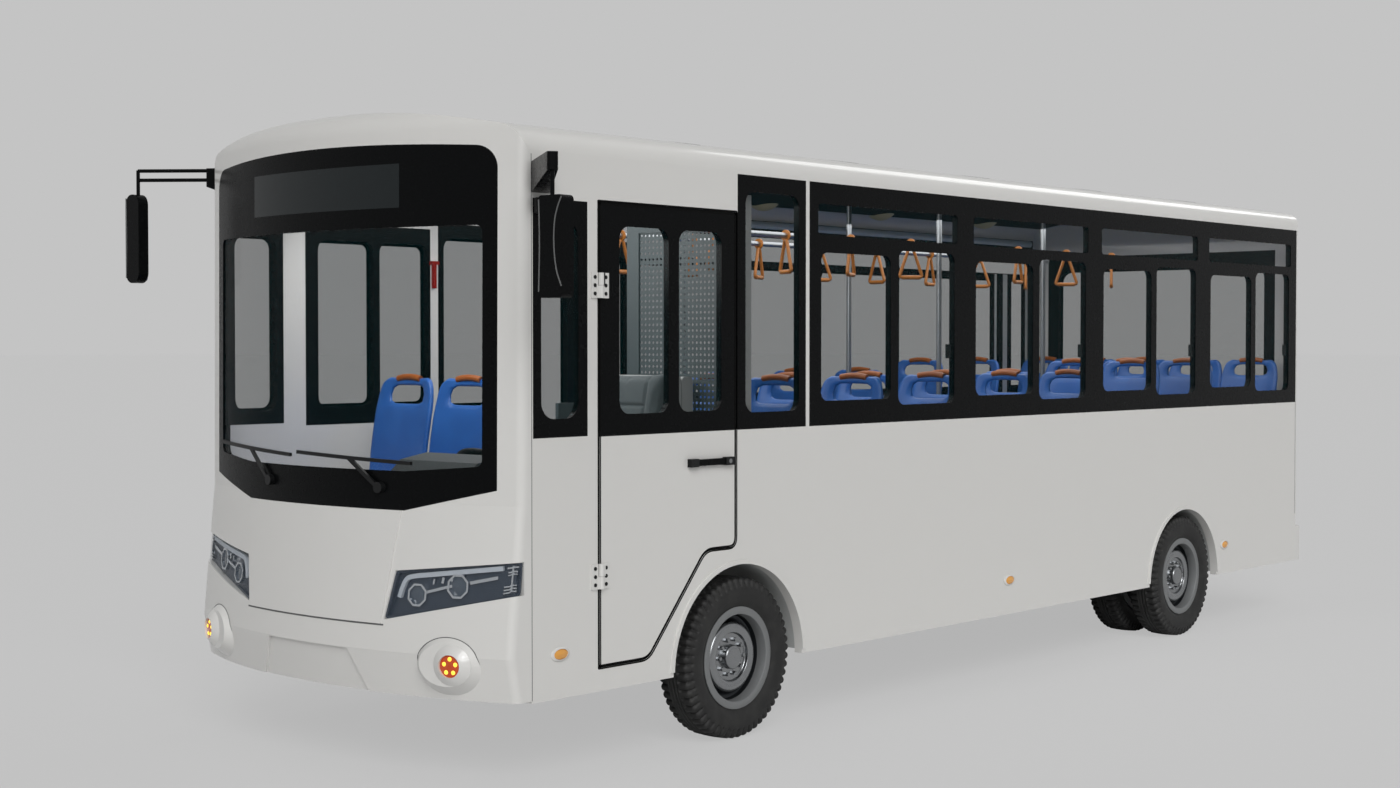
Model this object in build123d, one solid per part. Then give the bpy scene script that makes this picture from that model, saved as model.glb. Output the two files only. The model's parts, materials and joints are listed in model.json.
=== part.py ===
from build123d import *
import math
import os

# An eight metre battery-electric city bus, in millimetres.
# It stands on z = 0 and faces -Y, its left (driver's) side is +X, and the origin lies on the
# ground under the middle of its overall box.

os.makedirs("parts", exist_ok=True)

# Overall sizes
LENGTH = 8000
BODY_WIDTH = 2200
HEIGHT = 2910
WHEELBASE = 4455
FRONT_OVERHANG = 1742
WALL = 45
SKIRT_Z = 360
SILL_Z = 1480
BAND_TOP = 2690

FRONT_Y = -LENGTH / 2
REAR_Y = LENGTH / 2
HALF_W = BODY_WIDTH / 2
INNER_W = HALF_W - WALL
FRONT_AXLE_Y = FRONT_Y + FRONT_OVERHANG
REAR_AXLE_Y = FRONT_AXLE_Y + WHEELBASE

# Fits
SEAT_GAP = 0.3
DOOR_GAP = 8
LIP = 4
GLASS = 6
REBATE = 14
PANE_PLAY = 1

# Bowed ends: apex set back from the bumper's tip at each height
NOSE_DEPTH = 350
NOSE_BOW = 2750
CORNER_R = 45
MIN_CORNER = 6
SEAM_Y = FRONT_Y + NOSE_DEPTH
TAIL_DEPTH = 180
TAIL_BOW = 9000
TAIL_CORNER_R = 50
TAIL_STEP = 60
REAR_SEAM_Y = REAR_Y - TAIL_DEPTH
TAIL_Y = REAR_Y - TAIL_STEP
BUMPER_BOTTOM = 370
BUMPER_TOP = 676
HEADER_Z = 2760
HEADER_SETBACK = 75
# columns: height, set back of the nose's apex behind the bumper's tip
NOSE_LEVELS = [
    (BUMPER_BOTTOM, 38),
    (560, 0),
    (BUMPER_TOP, 10),
    (1200, 65),
    (BAND_TOP, HEADER_SETBACK),
    (HEADER_Z, HEADER_SETBACK),
]
REAR_BUMPER_TOP = 600
REAR_BUMPER_WALL = 110

# Roof
CROWN_R = 5500
SHOULDER_R = 115
ROOF_FRONT_R = 110
ROOF_REAR_R = 200

# Floor and frame
FLOOR_Z = 720
FLOOR_T = 30
PLATFORM_Z = 870
PLATFORM_Y = REAR_AXLE_Y - 560
RAIL_X = 415
RAIL_W = 70
RAIL_H = 130
RAIL_END = 40
BEARER_H = 60
BEARER_W = 60

# Wheels and arches
TYRE_R = 387.5
TYRE_W = 200
BEAD_R = 222
RIM_FLANGE_R = 245
WHEEL_INSET = 15
TWIN_SPACING = 300
FRONT_ARCH_R = 473
REAR_ARCH_R = 455
ARCH_LEAD = 23
ARCH_Z = 368
ARCH_LIP_W = 22
ARCH_LIP_T = 8
LINER_T = 12
FRONT_LINER_X = 600
REAR_LINER_X = 545
WHEEL_X = HALF_W - WHEEL_INSET - TYRE_W / 2
HUB_R = 95
STUB_R = 35
KINGPIN_X = 868
KINGPIN_R = 22


def block(x, y, z):
    """Box between three (low, high) pairs."""
    size = [high - low for low, high in (x, y, z)]
    middle = [(high + low) / 2 for low, high in (x, y, z)]
    return Pos(*middle) * Box(*size)


def along_x(sketch, x0, x1):
    """Sketch drawn in (y, z), carried along X."""
    return extrude(Plane.YZ.offset(x0) * sketch, x1 - x0, dir=(1, 0, 0))


def along_y(sketch, y0, y1):
    """Sketch drawn in (x, z), carried along Y."""
    start = Plane(origin=(0, y1, 0), x_dir=(1, 0, 0), z_dir=(0, -1, 0))
    return extrude(start * sketch, y1 - y0, dir=(0, -1, 0))


def along_z(sketch, z0, z1):
    """Sketch drawn in (x, y), carried along Z."""
    return extrude(Pos(0, 0, z0) * sketch, z1 - z0, dir=(0, 0, 1))


def rounded(a0, a1, b0, b1, radius, grow=0):
    """Rounded rectangle between two pairs of limits, grown on every side."""
    middle = Pos((a0 + a1) / 2, (b0 + b1) / 2)
    return middle * RectangleRounded(a1 - a0 + 2 * grow, b1 - b0 + 2 * grow, radius + grow)


def rect(a0, a1, b0, b1):
    """Plain rectangle between two pairs of limits."""
    return Pos((a0 + a1) / 2, (b0 + b1) / 2) * Rectangle(a1 - a0, b1 - b0)


def cylinder_x(x0, x1, y, z, radius):
    """Cylinder about a line parallel to X."""
    return Pos((x0 + x1) / 2, y, z) * Rot(0, 90, 0) * Cylinder(radius, x1 - x0)


def cylinder_z(x, y, z0, z1, radius):
    """Cylinder about a line parallel to Z."""
    return Pos(x, y, (z0 + z1) / 2) * Cylinder(radius, z1 - z0)


def rod(start, end, radius):
    """Round bar between two points."""
    path = Line(start, end)
    return sweep(Plane(origin=start, z_dir=path % 0) * Circle(radius), path)


def other_side(shape):
    """The same shape on the other side of the bus."""
    return mirror(shape, Plane.YZ)


def solids_of(shapes):
    """All solids of a list of shapes, in one flat list."""
    return [solid for shape in shapes for solid in shape.solids()]


# Bowed ends in plan

def flip(point):
    return (-point[0], point[1])


def end_points(apex_y, bow, corner, inset, facing):
    """Tangent, corner middle, side and apex points of an end's plan; facing is -1 in front, 1 behind."""
    half = HALF_W - inset
    corner = max(corner - inset, MIN_CORNER)
    centre_y = apex_y - facing * bow
    bow = bow - inset
    reach = math.sqrt((bow - corner) ** 2 - (half - corner) ** 2)
    corner_x = half - corner
    corner_y = centre_y + facing * reach
    out_x = corner_x / (bow - corner)
    out_y = facing * reach / (bow - corner)
    spread = math.hypot(out_x + 1, out_y)
    tangent = (bow * out_x, centre_y + bow * out_y)
    middle = (corner_x + corner * (out_x + 1) / spread, corner_y + corner * out_y / spread)
    return tangent, middle, (half, corner_y), (0, centre_y + facing * bow)


def end_curves(points):
    """Arcs of an end's plan from the -X side to the +X side."""
    tangent, middle, side, apex = points
    return [
        ThreePointArc(flip(side), flip(middle), flip(tangent)),
        ThreePointArc(flip(tangent), apex, tangent),
        ThreePointArc(tangent, middle, side),
    ]


def end_plan(points, back_y):
    """Face between an end's bow and a straight line across the bus."""
    side = points[2]
    back = (side[0], back_y)
    sides = [Line(side, back), Line(back, flip(back)), Line(flip(back), flip(side))]
    return make_face(end_curves(points) + sides)


def nose(inset, grow_back=0):
    """Filled front end, inset from the outer skin."""
    sections = []
    for height, set_back in NOSE_LEVELS:
        points = end_points(FRONT_Y + set_back, NOSE_BOW, CORNER_R, inset, -1)
        sections.append(Pos(0, 0, height) * end_plan(points, SEAM_Y + grow_back))
    return loft(sections, ruled=True)


def tail(apex_y, inset, z0, z1):
    """Filled rear end, inset from the outer skin."""
    points = end_points(apex_y, TAIL_BOW, TAIL_CORNER_R, inset, 1)
    return along_z(end_plan(points, REAR_SEAM_Y), z0, z1)


# Side windows: a frame as thick as the wall, with each pane seated behind a thin lip

def glazed_panel(outline, openings):
    """Left-hand frame from a (y, z) sketch and its panes; openings hold (y0, y1, z0, z1, radius)."""
    frame = along_x(outline, INNER_W, HALF_W)
    panes = []
    for opening in openings:
        frame -= along_x(rounded(*opening), INNER_W, HALF_W)
        frame -= along_x(rounded(*opening, grow=REBATE), INNER_W, HALF_W - LIP)
        pane = rounded(*opening, grow=REBATE - PANE_PLAY)
        panes.append(along_x(pane, HALF_W - LIP - GLASS, HALF_W - LIP))
    return frame, panes


def behind_seam(value):
    """Y of a distance behind the side wall's front seam."""
    return SEAM_Y + value


PARTS = {}

# Wheel arches
# columns: name, axle Y, arch radius, liner's inner X
ARCHES = [
    ("front", FRONT_AXLE_Y, FRONT_ARCH_R, FRONT_LINER_X),
    ("rear", REAR_AXLE_Y, REAR_ARCH_R, REAR_LINER_X),
]


def arch_cut(grow):
    """Left wheel spaces, grown from the arches' edges."""
    return [
        cylinder_x(liner_x - grow, HALF_W + 2 * ARCH_LIP_T, axle_y - ARCH_LEAD, ARCH_Z, radius + grow)
        for name, axle_y, radius, liner_x in ARCHES
    ]


def arch_lips():
    """Raised flanges round the left arches."""
    lips = []
    for name, axle_y, radius, liner_x in ARCHES:
        centre_y = axle_y - ARCH_LEAD
        ring = cylinder_x(HALF_W, HALF_W + ARCH_LIP_T, centre_y, ARCH_Z, radius + ARCH_LIP_W)
        ring -= cylinder_x(HALF_W, HALF_W + ARCH_LIP_T, centre_y, ARCH_Z, radius)
        wide = radius + ARCH_LIP_W
        lips.append(ring & block((HALF_W, HALF_W + ARCH_LIP_T), (centre_y - wide, centre_y + wide),
                                 (SKIRT_Z + ARCH_LIP_W, ARCH_Z + wide)))
    return lips


# Driver's door, on the left: outline in (distance behind the seam, z)
DOOR_START = 405
DOOR_END = 1341
DOOR_TOP = 2510
DOOR_BOTTOM = 462
DOOR_TOE = 727
DOOR_KNEE = 1121
DOOR_KNEE_Z = 922
DOOR_CORNER_R = 45
DOOR_BEND_R = 100


def door_outline():
    sketch = Polygon(
        (behind_seam(DOOR_START), DOOR_BOTTOM),
        (behind_seam(DOOR_TOE), DOOR_BOTTOM),
        (behind_seam(DOOR_KNEE), DOOR_KNEE_Z),
        (behind_seam(DOOR_END), DOOR_KNEE_Z),
        (behind_seam(DOOR_END), DOOR_TOP),
        (behind_seam(DOOR_START), DOOR_TOP),
        align=None,
    )
    low_corners = sketch.vertices().filter_by_position(Axis.Y, 0, SILL_Z).sort_by(Axis.X)
    sketch = fillet(low_corners[-1:], DOOR_CORNER_R)
    toe, knee = behind_seam(DOOR_TOE), behind_seam(DOOR_KNEE)
    bends = sketch.vertices().filter_by_position(Axis.X, toe, knee)
    return fillet(bends, DOOR_BEND_R)


# Windows, all in (distance behind the seam)
# columns: y0, y1, z0, z1, corner radius
A_FRAME = (8, 337, 1485, 2503)
A_PANE = (57, 282, 1565, 2414, 75)
RIGHT_A_PANE = (57, 282, 1565, 2414, 50)
DOOR_PANES = [(539, 864, 1575, 2407, 60), (934, 1233, 1575, 2407, 60)]
QUARTER_FRAME = (1349, 1872, SILL_Z, BAND_TOP)
QUARTER_PANE = (1408, 1818, 1560, 2612, 60)
BAND_START = 1900
MODULES = 4
# columns: start and end within a module, z0, z1, corner radius
MODULE_PANES = [
    (71, 1305, 2430, 2585, 20),
    (94, 688, 1603, 2343, 50),
    (755, 1278, 1569, 2375, 50),
]
RIGHT_FRONT_FRAME = (475, 1315, 1470, DOOR_TOP)
RIGHT_FRONT_PANES = [(570, 908, 1577, 2410, 40), (976, 1281, 1577, 2410, 40)]
RIGHT_QUARTER_FRAME = (1370, 1885, SILL_Z, 2545)
RIGHT_QUARTER_PANE = (1425, 1835, 1560, 2455, 50)
PASSENGER_START = 1915
PASSENGER_END = 2935
PASSENGER_BOTTOM = 395
RIGHT_BAND_START = 2955
RIGHT_PANES = 5
RIGHT_BAR = 48
RIGHT_PANE_Z = (1575, 2370)
RIGHT_LITE_Z = (2430, 2585)
RIGHT_PANE_R = 40
LITE_R = 20


def placed(opening):
    """Opening with its distances behind the seam turned to Y."""
    return (behind_seam(opening[0]), behind_seam(opening[1])) + tuple(opening[2:])


def left_windows():
    """Outline sketch and openings of each black window frame on the left wall."""
    start = behind_seam(BAND_START)
    pitch = (REAR_SEAM_Y - start) / MODULES
    openings = []
    for module in range(MODULES):
        first = start + module * pitch
        openings += [(first + y0, first + y1, z0, z1, r) for y0, y1, z0, z1, r in MODULE_PANES]
    return [
        (rect(*placed(A_FRAME)), [placed(A_PANE)]),
        (rect(*placed(QUARTER_FRAME)), [placed(QUARTER_PANE)]),
        (rect(start, REAR_SEAM_Y, SILL_Z, BAND_TOP), openings),
    ]


def right_windows():
    """The same for the right wall."""
    start = behind_seam(RIGHT_BAND_START)
    pitch = (REAR_SEAM_Y - start) / RIGHT_PANES
    openings = []
    for number in range(RIGHT_PANES):
        low = start + number * pitch + RIGHT_BAR / 2 + REBATE
        high = start + (number + 1) * pitch - RIGHT_BAR / 2 - REBATE
        openings.append((low, high, *RIGHT_PANE_Z, RIGHT_PANE_R))
        openings.append((low, high, *RIGHT_LITE_Z, LITE_R))
    return [
        (rect(*placed(A_FRAME)), [placed(RIGHT_A_PANE)]),
        (rect(*placed(RIGHT_FRONT_FRAME)), [placed(pane) for pane in RIGHT_FRONT_PANES]),
        (rect(*placed(RIGHT_QUARTER_FRAME)), [placed(RIGHT_QUARTER_PANE)]),
        (rect(start, REAR_SEAM_Y, SILL_Z, BAND_TOP), openings),
    ]


def passenger_outline():
    return rect(behind_seam(PASSENGER_START), behind_seam(PASSENGER_END), PASSENGER_BOTTOM, DOOR_TOP)


# Hinges: a pair of leaves and barrels outside the wall
HINGE_R = 12
HINGE_OUT = 13.5
HINGE_PLATE_T = 6
HINGE_PLATE_W = 40
HINGE_H = 110
HINGE_SPLIT = 1
HINGE_PLAY = 2
DRIVER_HINGE_Z = (867, 2142)
LEAF_HINGE_Z = (700, 2250)
HINGE_X = HALF_W + HINGE_OUT


def hinge_half(axis_y, toward, z, upper):
    """Half of a left-hand hinge: a plate on the side that toward points to, and its barrel."""
    low, high = (z + HINGE_SPLIT, z + HINGE_H / 2) if upper else (z - HINGE_H / 2, z)
    near = axis_y + toward * (HINGE_R + HINGE_PLAY)
    far = near + toward * HINGE_PLATE_W
    plate = block((HALF_W, HALF_W + HINGE_PLATE_T), sorted((near, far)),
                  (z - HINGE_H / 2, z + HINGE_H / 2))
    web = block((HINGE_X - HINGE_R, HINGE_X), sorted((axis_y, near + toward * HINGE_R)), (low, high))
    return plate + web + cylinder_z(HINGE_X, axis_y, low, high, HINGE_R)


DRIVER_HINGE_Y = behind_seam(DOOR_START) + DOOR_GAP / 2
FRONT_LEAF_HINGE_Y = behind_seam(PASSENGER_START) + DOOR_GAP / 2
REAR_LEAF_HINGE_Y = behind_seam(PASSENGER_END) - DOOR_GAP / 2


# Side walls

def side_wall(windows, door_cut, hinges):
    """Left-hand wall with its arches, window frames' places and doorway cut."""
    wall = along_x(rect(SEAM_Y, REAR_SEAM_Y, SKIRT_Z, BAND_TOP), INNER_W, HALF_W)
    for outline, openings in windows:
        wall -= along_x(outline, INNER_W, HALF_W)
    wall -= along_x(door_cut, INNER_W, HALF_W)
    for space in arch_cut(0):
        wall -= space
    for lip in arch_lips():
        wall += lip
    for axis_y, toward, z in hinges:
        wall += hinge_half(axis_y, toward, z, False)
    return wall


driver_hinges = [(DRIVER_HINGE_Y, -1, z) for z in DRIVER_HINGE_Z]
leaf_hinges = [(FRONT_LEAF_HINGE_Y, -1, z) for z in LEAF_HINGE_Z]
leaf_hinges += [(REAR_LEAF_HINGE_Y, 1, z) for z in LEAF_HINGE_Z]
PARTS["left_wall"] = [side_wall(left_windows(), door_outline(), driver_hinges)]
PARTS["right_wall"] = [other_side(side_wall(right_windows(), passenger_outline(), leaf_hinges))]

window_glass = []
# columns: node, its windows, whether it is on the right side
BANDS = [("left_band", left_windows(), False), ("right_band", right_windows(), True)]
for node, windows, turned in BANDS:
    frames = []
    for outline, openings in windows:
        frame, panes = glazed_panel(outline, openings)
        frames.append(other_side(frame) if turned else frame)
        window_glass += [other_side(pane) if turned else pane for pane in panes]
    PARTS[node] = frames

# Driver's door
HANDLE = (995, 1296)
HANDLE_Z = (1322, 1352)
HANDLE_T = 22
HANDLE_R = 10
door_sketch = offset(door_outline(), -DOOR_GAP, kind=Kind.INTERSECTION)
door_low = along_x(door_sketch & rect(SEAM_Y, 0, 0, SILL_Z), INNER_W, HALF_W)
door_high_sketch = door_sketch & rect(SEAM_Y, 0, SILL_Z, HEIGHT)
for z in DRIVER_HINGE_Z[:1]:
    door_low += hinge_half(DRIVER_HINGE_Y, 1, z, True)
door_frame, door_glass = glazed_panel(door_high_sketch, [placed(pane) for pane in DOOR_PANES])
for z in DRIVER_HINGE_Z[1:]:
    door_frame += hinge_half(DRIVER_HINGE_Y, 1, z, True)
handle = along_x(rounded(behind_seam(HANDLE[0]), behind_seam(HANDLE[1]), *HANDLE_Z, HANDLE_R),
                 HALF_W, HALF_W + HANDLE_T)
PARTS["driver_door"] = [door_low]
PARTS["driver_door_frame"] = [door_frame, handle]
PARTS["driver_door_glass"] = door_glass

# Passenger door's two leaves, on the right
LEAF_STILE = 70
LEAF_PANES_Z = [(490, 1240), (1330, 2400)]
LEAF_PANE_R = 50
leaf_low = behind_seam(PASSENGER_START) + DOOR_GAP
leaf_high = behind_seam(PASSENGER_END) - DOOR_GAP
leaf_middle = (leaf_low + leaf_high) / 2
# columns: name, y0, y1, hinge Y, direction from the hinge into the leaf
LEAVES = [
    ("front_leaf", leaf_low, leaf_middle - DOOR_GAP / 2, FRONT_LEAF_HINGE_Y, 1),
    ("rear_leaf", leaf_middle + DOOR_GAP / 2, leaf_high, REAR_LEAF_HINGE_Y, -1),
]
for name, y0, y1, hinge_y, toward in LEAVES:
    outline = rect(y0, y1, PASSENGER_BOTTOM + DOOR_GAP, DOOR_TOP - DOOR_GAP)
    panes = [(y0 + LEAF_STILE, y1 - LEAF_STILE, z0, z1, LEAF_PANE_R) for z0, z1 in LEAF_PANES_Z]
    frame, glass = glazed_panel(outline, panes)
    for z in LEAF_HINGE_Z:
        frame += hinge_half(hinge_y, toward, z, True)
    PARTS[name] = [other_side(frame)]
    PARTS[name + "_glass"] = [other_side(pane) for pane in glass]

# Front end
SCREEN_HALF = 992
SCREEN_LOW_SIDE = 1265
SCREEN_LOW = 1166
SCREEN_LOW_X = 550
SCREEN_TOP = 2756
SCREEN_TOP_SIDE = 2722
SCREEN_TOP_R = 100
CLEAR_HALF = 925
CLEAR_LOW_SIDE = 1366
CLEAR_LOW = 1336
CLEAR_TOP = 2390
SCREEN_R = 30
SCREEN_GLASS_IN = 6


def symmetric(points):
    """Closed outline from points on the +X half, listed from below upwards."""
    return Polygon(*points, *[flip(point) for point in reversed(points)], align=None)


def screen_outline():
    """Surround with a kinked lower edge, upright sides and an arched top between round corners."""
    foot, side = (SCREEN_LOW_X, SCREEN_LOW), (SCREEN_HALF, SCREEN_LOW_SIDE)
    corner = (SCREEN_HALF, SCREEN_TOP_SIDE)
    lower = Polyline(flip(corner), flip(side), flip(foot), foot, side, corner)
    arch = ThreePointArc(corner, (0, SCREEN_TOP), flip(corner))
    sketch = make_face([*lower.edges(), arch])
    return fillet(sketch.vertices().sort_by(Axis.Y)[-2:], SCREEN_TOP_R)


def clear_outline(grow):
    sketch = symmetric([(SCREEN_LOW_X, CLEAR_LOW), (CLEAR_HALF, CLEAR_LOW_SIDE), (CLEAR_HALF, CLEAR_TOP)])
    sketch = fillet(sketch.vertices(), SCREEN_R)
    return offset(sketch, grow, kind=Kind.INTERSECTION) if grow else sketch


LAMP_OUT = HALF_W + 20
LAMP_CORNERS = [(482, 694), (527, 907), (LAMP_OUT, 968), (LAMP_OUT, 830)]
LAMP_END_Y = SEAM_Y - 45
LAMP_IN = 4
LAMP_DEPTH = 40
RECESS_TOP = 556
RECESS_TOP_X = 280
RECESS_LOW_X = 373
RECESS_DEPTH = 14
FOG_X = 815
FOG_Z = 525
FOG_BEZEL = (152, 114)
FOG_ROOT = 28
FOG_RISE = 26
FOG_SLOPE = 0.85
FOG_LAMP_R = 47
FOG_LAMP_T = 10
PAD_T = 5
PAD_LOW_X = 470
PAD_TOP_X = 540


def through_nose(sketch, end_y=SEAM_Y):
    return along_y(sketch, FRONT_Y - NOSE_DEPTH, end_y)


def nose_set_back(z):
    """Set back of the nose's apex at a height, between the levels."""
    for (low, low_back), (high, high_back) in zip(NOSE_LEVELS, NOSE_LEVELS[1:]):
        if low <= z <= high:
            return low_back + (high_back - low_back) * (z - low) / (high - low)


def fog_plane():
    """Plane on the left of the bumper's skin, facing along its normal."""
    turn = math.asin(FOG_X / NOSE_BOW)
    skin_y = FRONT_Y + nose_set_back(FOG_Z) + NOSE_BOW * (1 - math.cos(turn))
    return Plane(origin=(FOG_X, skin_y, FOG_Z), x_dir=(math.cos(turn), math.sin(turn), 0),
                 z_dir=(math.sin(turn), -math.cos(turn), 0))


def fog_boss():
    """Oval boss that stands out of the bumper round the fog lamp."""
    sections = []
    for height in (-FOG_ROOT, FOG_RISE):
        half_wide, half_high = [size - FOG_SLOPE * height for size in FOG_BEZEL]
        sections.append(fog_plane().offset(height) * Ellipse(half_wide, half_high))
    return loft(sections, ruled=True)


skin = nose(0)
shell = skin - nose(WALL)
screen_cut = through_nose(screen_outline())
lamp_sketch = Polygon(*LAMP_CORNERS, align=None)
lamp_cut = through_nose(lamp_sketch, LAMP_END_Y)
lamp_cuts = lamp_cut + other_side(lamp_cut)
low_box = block((-HALF_W, HALF_W), (FRONT_Y, SEAM_Y), (0, BUMPER_TOP))
high_box = block((-HALF_W, HALF_W), (FRONT_Y, SEAM_Y), (BAND_TOP, HEIGHT))

centre_pad = nose(-PAD_T) - nose(WALL / 2)
centre_pad &= through_nose(symmetric([(PAD_LOW_X, BUMPER_TOP), (PAD_TOP_X, SCREEN_LOW)]))
PARTS["front_mask"] = [shell - low_box - high_box - screen_cut - lamp_cuts + centre_pad]
screen_frame = shell & screen_cut
screen_frame -= through_nose(clear_outline(0))
screen_frame -= nose(SCREEN_GLASS_IN - SEAT_GAP) & through_nose(clear_outline(REBATE))
PARTS["windscreen_frame"] = [screen_frame]
screen_skin = nose(SCREEN_GLASS_IN) - nose(SCREEN_GLASS_IN + GLASS)
PARTS["windscreen"] = [screen_skin & through_nose(clear_outline(REBATE - PANE_PLAY))]

lamp_body = nose(LAMP_IN) - nose(LAMP_IN + LAMP_DEPTH)
lamp_inner = through_nose(offset(lamp_sketch, -SEAT_GAP, kind=Kind.INTERSECTION), LAMP_END_Y - SEAT_GAP)
left_lamp = lamp_body & lamp_inner
PARTS["headlamps"] = [left_lamp, other_side(left_lamp)]

bumper = shell & low_box
recess = symmetric([(RECESS_LOW_X, BUMPER_BOTTOM), (RECESS_TOP_X, RECESS_TOP)])
bumper -= (skin - nose(RECESS_DEPTH)) & through_nose(recess)
bumper += fog_boss()
bumper += other_side(fog_boss())
fog_lamp = extrude(fog_plane().offset(FOG_RISE + SEAT_GAP) * Circle(FOG_LAMP_R), FOG_LAMP_T)

# Rear end
REAR_GLASS_HALF = 830
REAR_GLASS_Z = (1560, 2440)
REAR_FRAME_HALF = 930
REAR_FRAME_Z = (SILL_Z, 2560)
REAR_PANE_R = 80
TAIL_LAMP_X = (900, 1010)
TAIL_LAMP_Z = (760, 1220)
TAIL_LAMP_R = 40
TAIL_LAMP_T = 14


def through_tail(sketch):
    return along_y(sketch, REAR_SEAM_Y, REAR_Y + TAIL_DEPTH)


tail_shell = tail(TAIL_Y, 0, REAR_BUMPER_TOP, BAND_TOP) - tail(TAIL_Y, WALL, REAR_BUMPER_TOP, BAND_TOP)
rear_frame_cut = through_tail(rect(-REAR_FRAME_HALF, REAR_FRAME_HALF, *REAR_FRAME_Z))
rear_opening = (-REAR_GLASS_HALF, REAR_GLASS_HALF, *REAR_GLASS_Z, REAR_PANE_R)
PARTS["rear_panel"] = [tail_shell - rear_frame_cut]
rear_frame = tail_shell & rear_frame_cut
rear_frame -= through_tail(rounded(*rear_opening))
rear_seat = tail(TAIL_Y, LIP - SEAT_GAP, REAR_BUMPER_TOP, BAND_TOP)
rear_frame -= rear_seat & through_tail(rounded(*rear_opening, grow=REBATE))
PARTS["rear_window_frame"] = [rear_frame]
rear_skin = tail(TAIL_Y, LIP, REAR_BUMPER_TOP, BAND_TOP)
rear_skin -= tail(TAIL_Y, LIP + GLASS, REAR_BUMPER_TOP, BAND_TOP)
window_glass.append(rear_skin & through_tail(rounded(*rear_opening, grow=REBATE - PANE_PLAY)))
PARTS["window_glass"] = window_glass

rear_bumper = tail(REAR_Y, 0, SKIRT_Z, REAR_BUMPER_TOP)
rear_bumper -= tail(REAR_Y, REAR_BUMPER_WALL, SKIRT_Z, REAR_BUMPER_TOP)
PARTS["bumpers"] = [bumper, rear_bumper]

tail_lamp_skin = tail(TAIL_Y, -TAIL_LAMP_T, *TAIL_LAMP_Z) - tail(TAIL_Y, -SEAT_GAP, *TAIL_LAMP_Z)
tail_lamp = tail_lamp_skin & through_tail(rounded(*TAIL_LAMP_X, *TAIL_LAMP_Z, TAIL_LAMP_R))
PARTS["tail_lamps"] = [tail_lamp, other_side(tail_lamp)]

# Amber lamps: oval side markers and the round fog lamps
MARKERS = (165, 3733, 6384)
MARKER_Z = 553
MARKER_SIZE = (100, 48)
MARKER_T = 12
amber = [fog_lamp, other_side(fog_lamp)]
for distance in MARKERS:
    oval = Pos(behind_seam(distance), MARKER_Z) * SlotOverall(*MARKER_SIZE)
    marker = along_x(oval, HALF_W, HALF_W + MARKER_T)
    amber += [marker, other_side(marker)]
PARTS["amber_lamps"] = amber


# Roof: crowned across, bowed in front, rounded at both ends

def roof_section(inset):
    """Crowned section across the bus, open below the cant rail."""
    half = HALF_W - inset
    crown = CROWN_R - inset
    shoulder = SHOULDER_R - inset
    centre_z = HEIGHT - CROWN_R
    low = BAND_TOP - inset
    reach = math.sqrt((crown - shoulder) ** 2 - (half - shoulder) ** 2)
    sx, sz = half - shoulder, centre_z + reach
    out_x, out_z = sx / (crown - shoulder), reach / (crown - shoulder)
    spread = math.hypot(out_x + 1, out_z)
    tangent = (crown * out_x, centre_z + crown * out_z)
    middle = (sx + shoulder * (out_x + 1) / spread, sz + shoulder * out_z / spread)
    side, foot = (half, sz), (half, low)
    return make_face([
        Line(flip(foot), foot), Line(foot, side), ThreePointArc(side, middle, tangent),
        ThreePointArc(tangent, (0, centre_z + crown), flip(tangent)),
        ThreePointArc(flip(tangent), flip(middle), flip(side)), Line(flip(side), flip(foot)),
    ])


def roof_plan(inset):
    """Whole plan of the body at the roof."""
    front = end_points(FRONT_Y + HEADER_SETBACK, NOSE_BOW, CORNER_R, inset, -1)
    rear = end_points(TAIL_Y, TAIL_BOW, TAIL_CORNER_R, inset, 1)
    sides = [Line(front[2], rear[2]), Line(flip(front[2]), flip(rear[2]))]
    return make_face(end_curves(front) + end_curves(rear) + sides)


def corner_waste(a, b, radius):
    """Sketch of what a rounding of a top corner at (a, b) takes away, for a corner on the +a side."""
    far = radius / 2
    inner = (a - radius * (1 - math.sqrt(0.5)), b - radius * (1 - math.sqrt(0.5)))
    return make_face([
        ThreePointArc((a, b - radius), inner, (a - radius, b)),
        Line((a - radius, b), (a - radius, b + far)),
        Line((a - radius, b + far), (a + far, b + far)),
        Line((a + far, b + far), (a + far, b - radius)),
        Line((a + far, b - radius), (a, b - radius)),
    ])


def roof_solid(inset):
    filled = along_z(roof_plan(inset), BAND_TOP - inset, HEIGHT)
    filled &= along_y(roof_section(inset), FRONT_Y, REAR_Y)
    rear_waste = corner_waste(TAIL_Y - inset, HEIGHT - inset, ROOF_REAR_R - inset)
    return filled - along_x(rear_waste, -HALF_W, HALF_W)


bow_centre_y = FRONT_Y + HEADER_SETBACK + NOSE_BOW
front_waste = revolve(Plane.XZ * corner_waste(NOSE_BOW, HEIGHT, ROOF_FRONT_R), axis=Axis.Z)
front_waste = Pos(0, bow_centre_y, 0) * front_waste
front_waste &= block((-HALF_W, HALF_W), (FRONT_Y, SEAM_Y), (BAND_TOP, 2 * HEIGHT))
PARTS["roof"] = [roof_solid(0) - roof_solid(WALL) - front_waste - screen_cut]

# Floor, raised rear platform, stepwell and wheel boxes
STEP_DEPTH = 190
STEPS = 2
STEP_T = 25
step_rise = (FLOOR_Z - PASSENGER_BOTTOM) / STEPS
step_start, step_end = behind_seam(PASSENGER_START), behind_seam(PASSENGER_END)
step_edge = -INNER_W + STEPS * STEP_DEPTH

FLOOR_PLAY = 4

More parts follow.
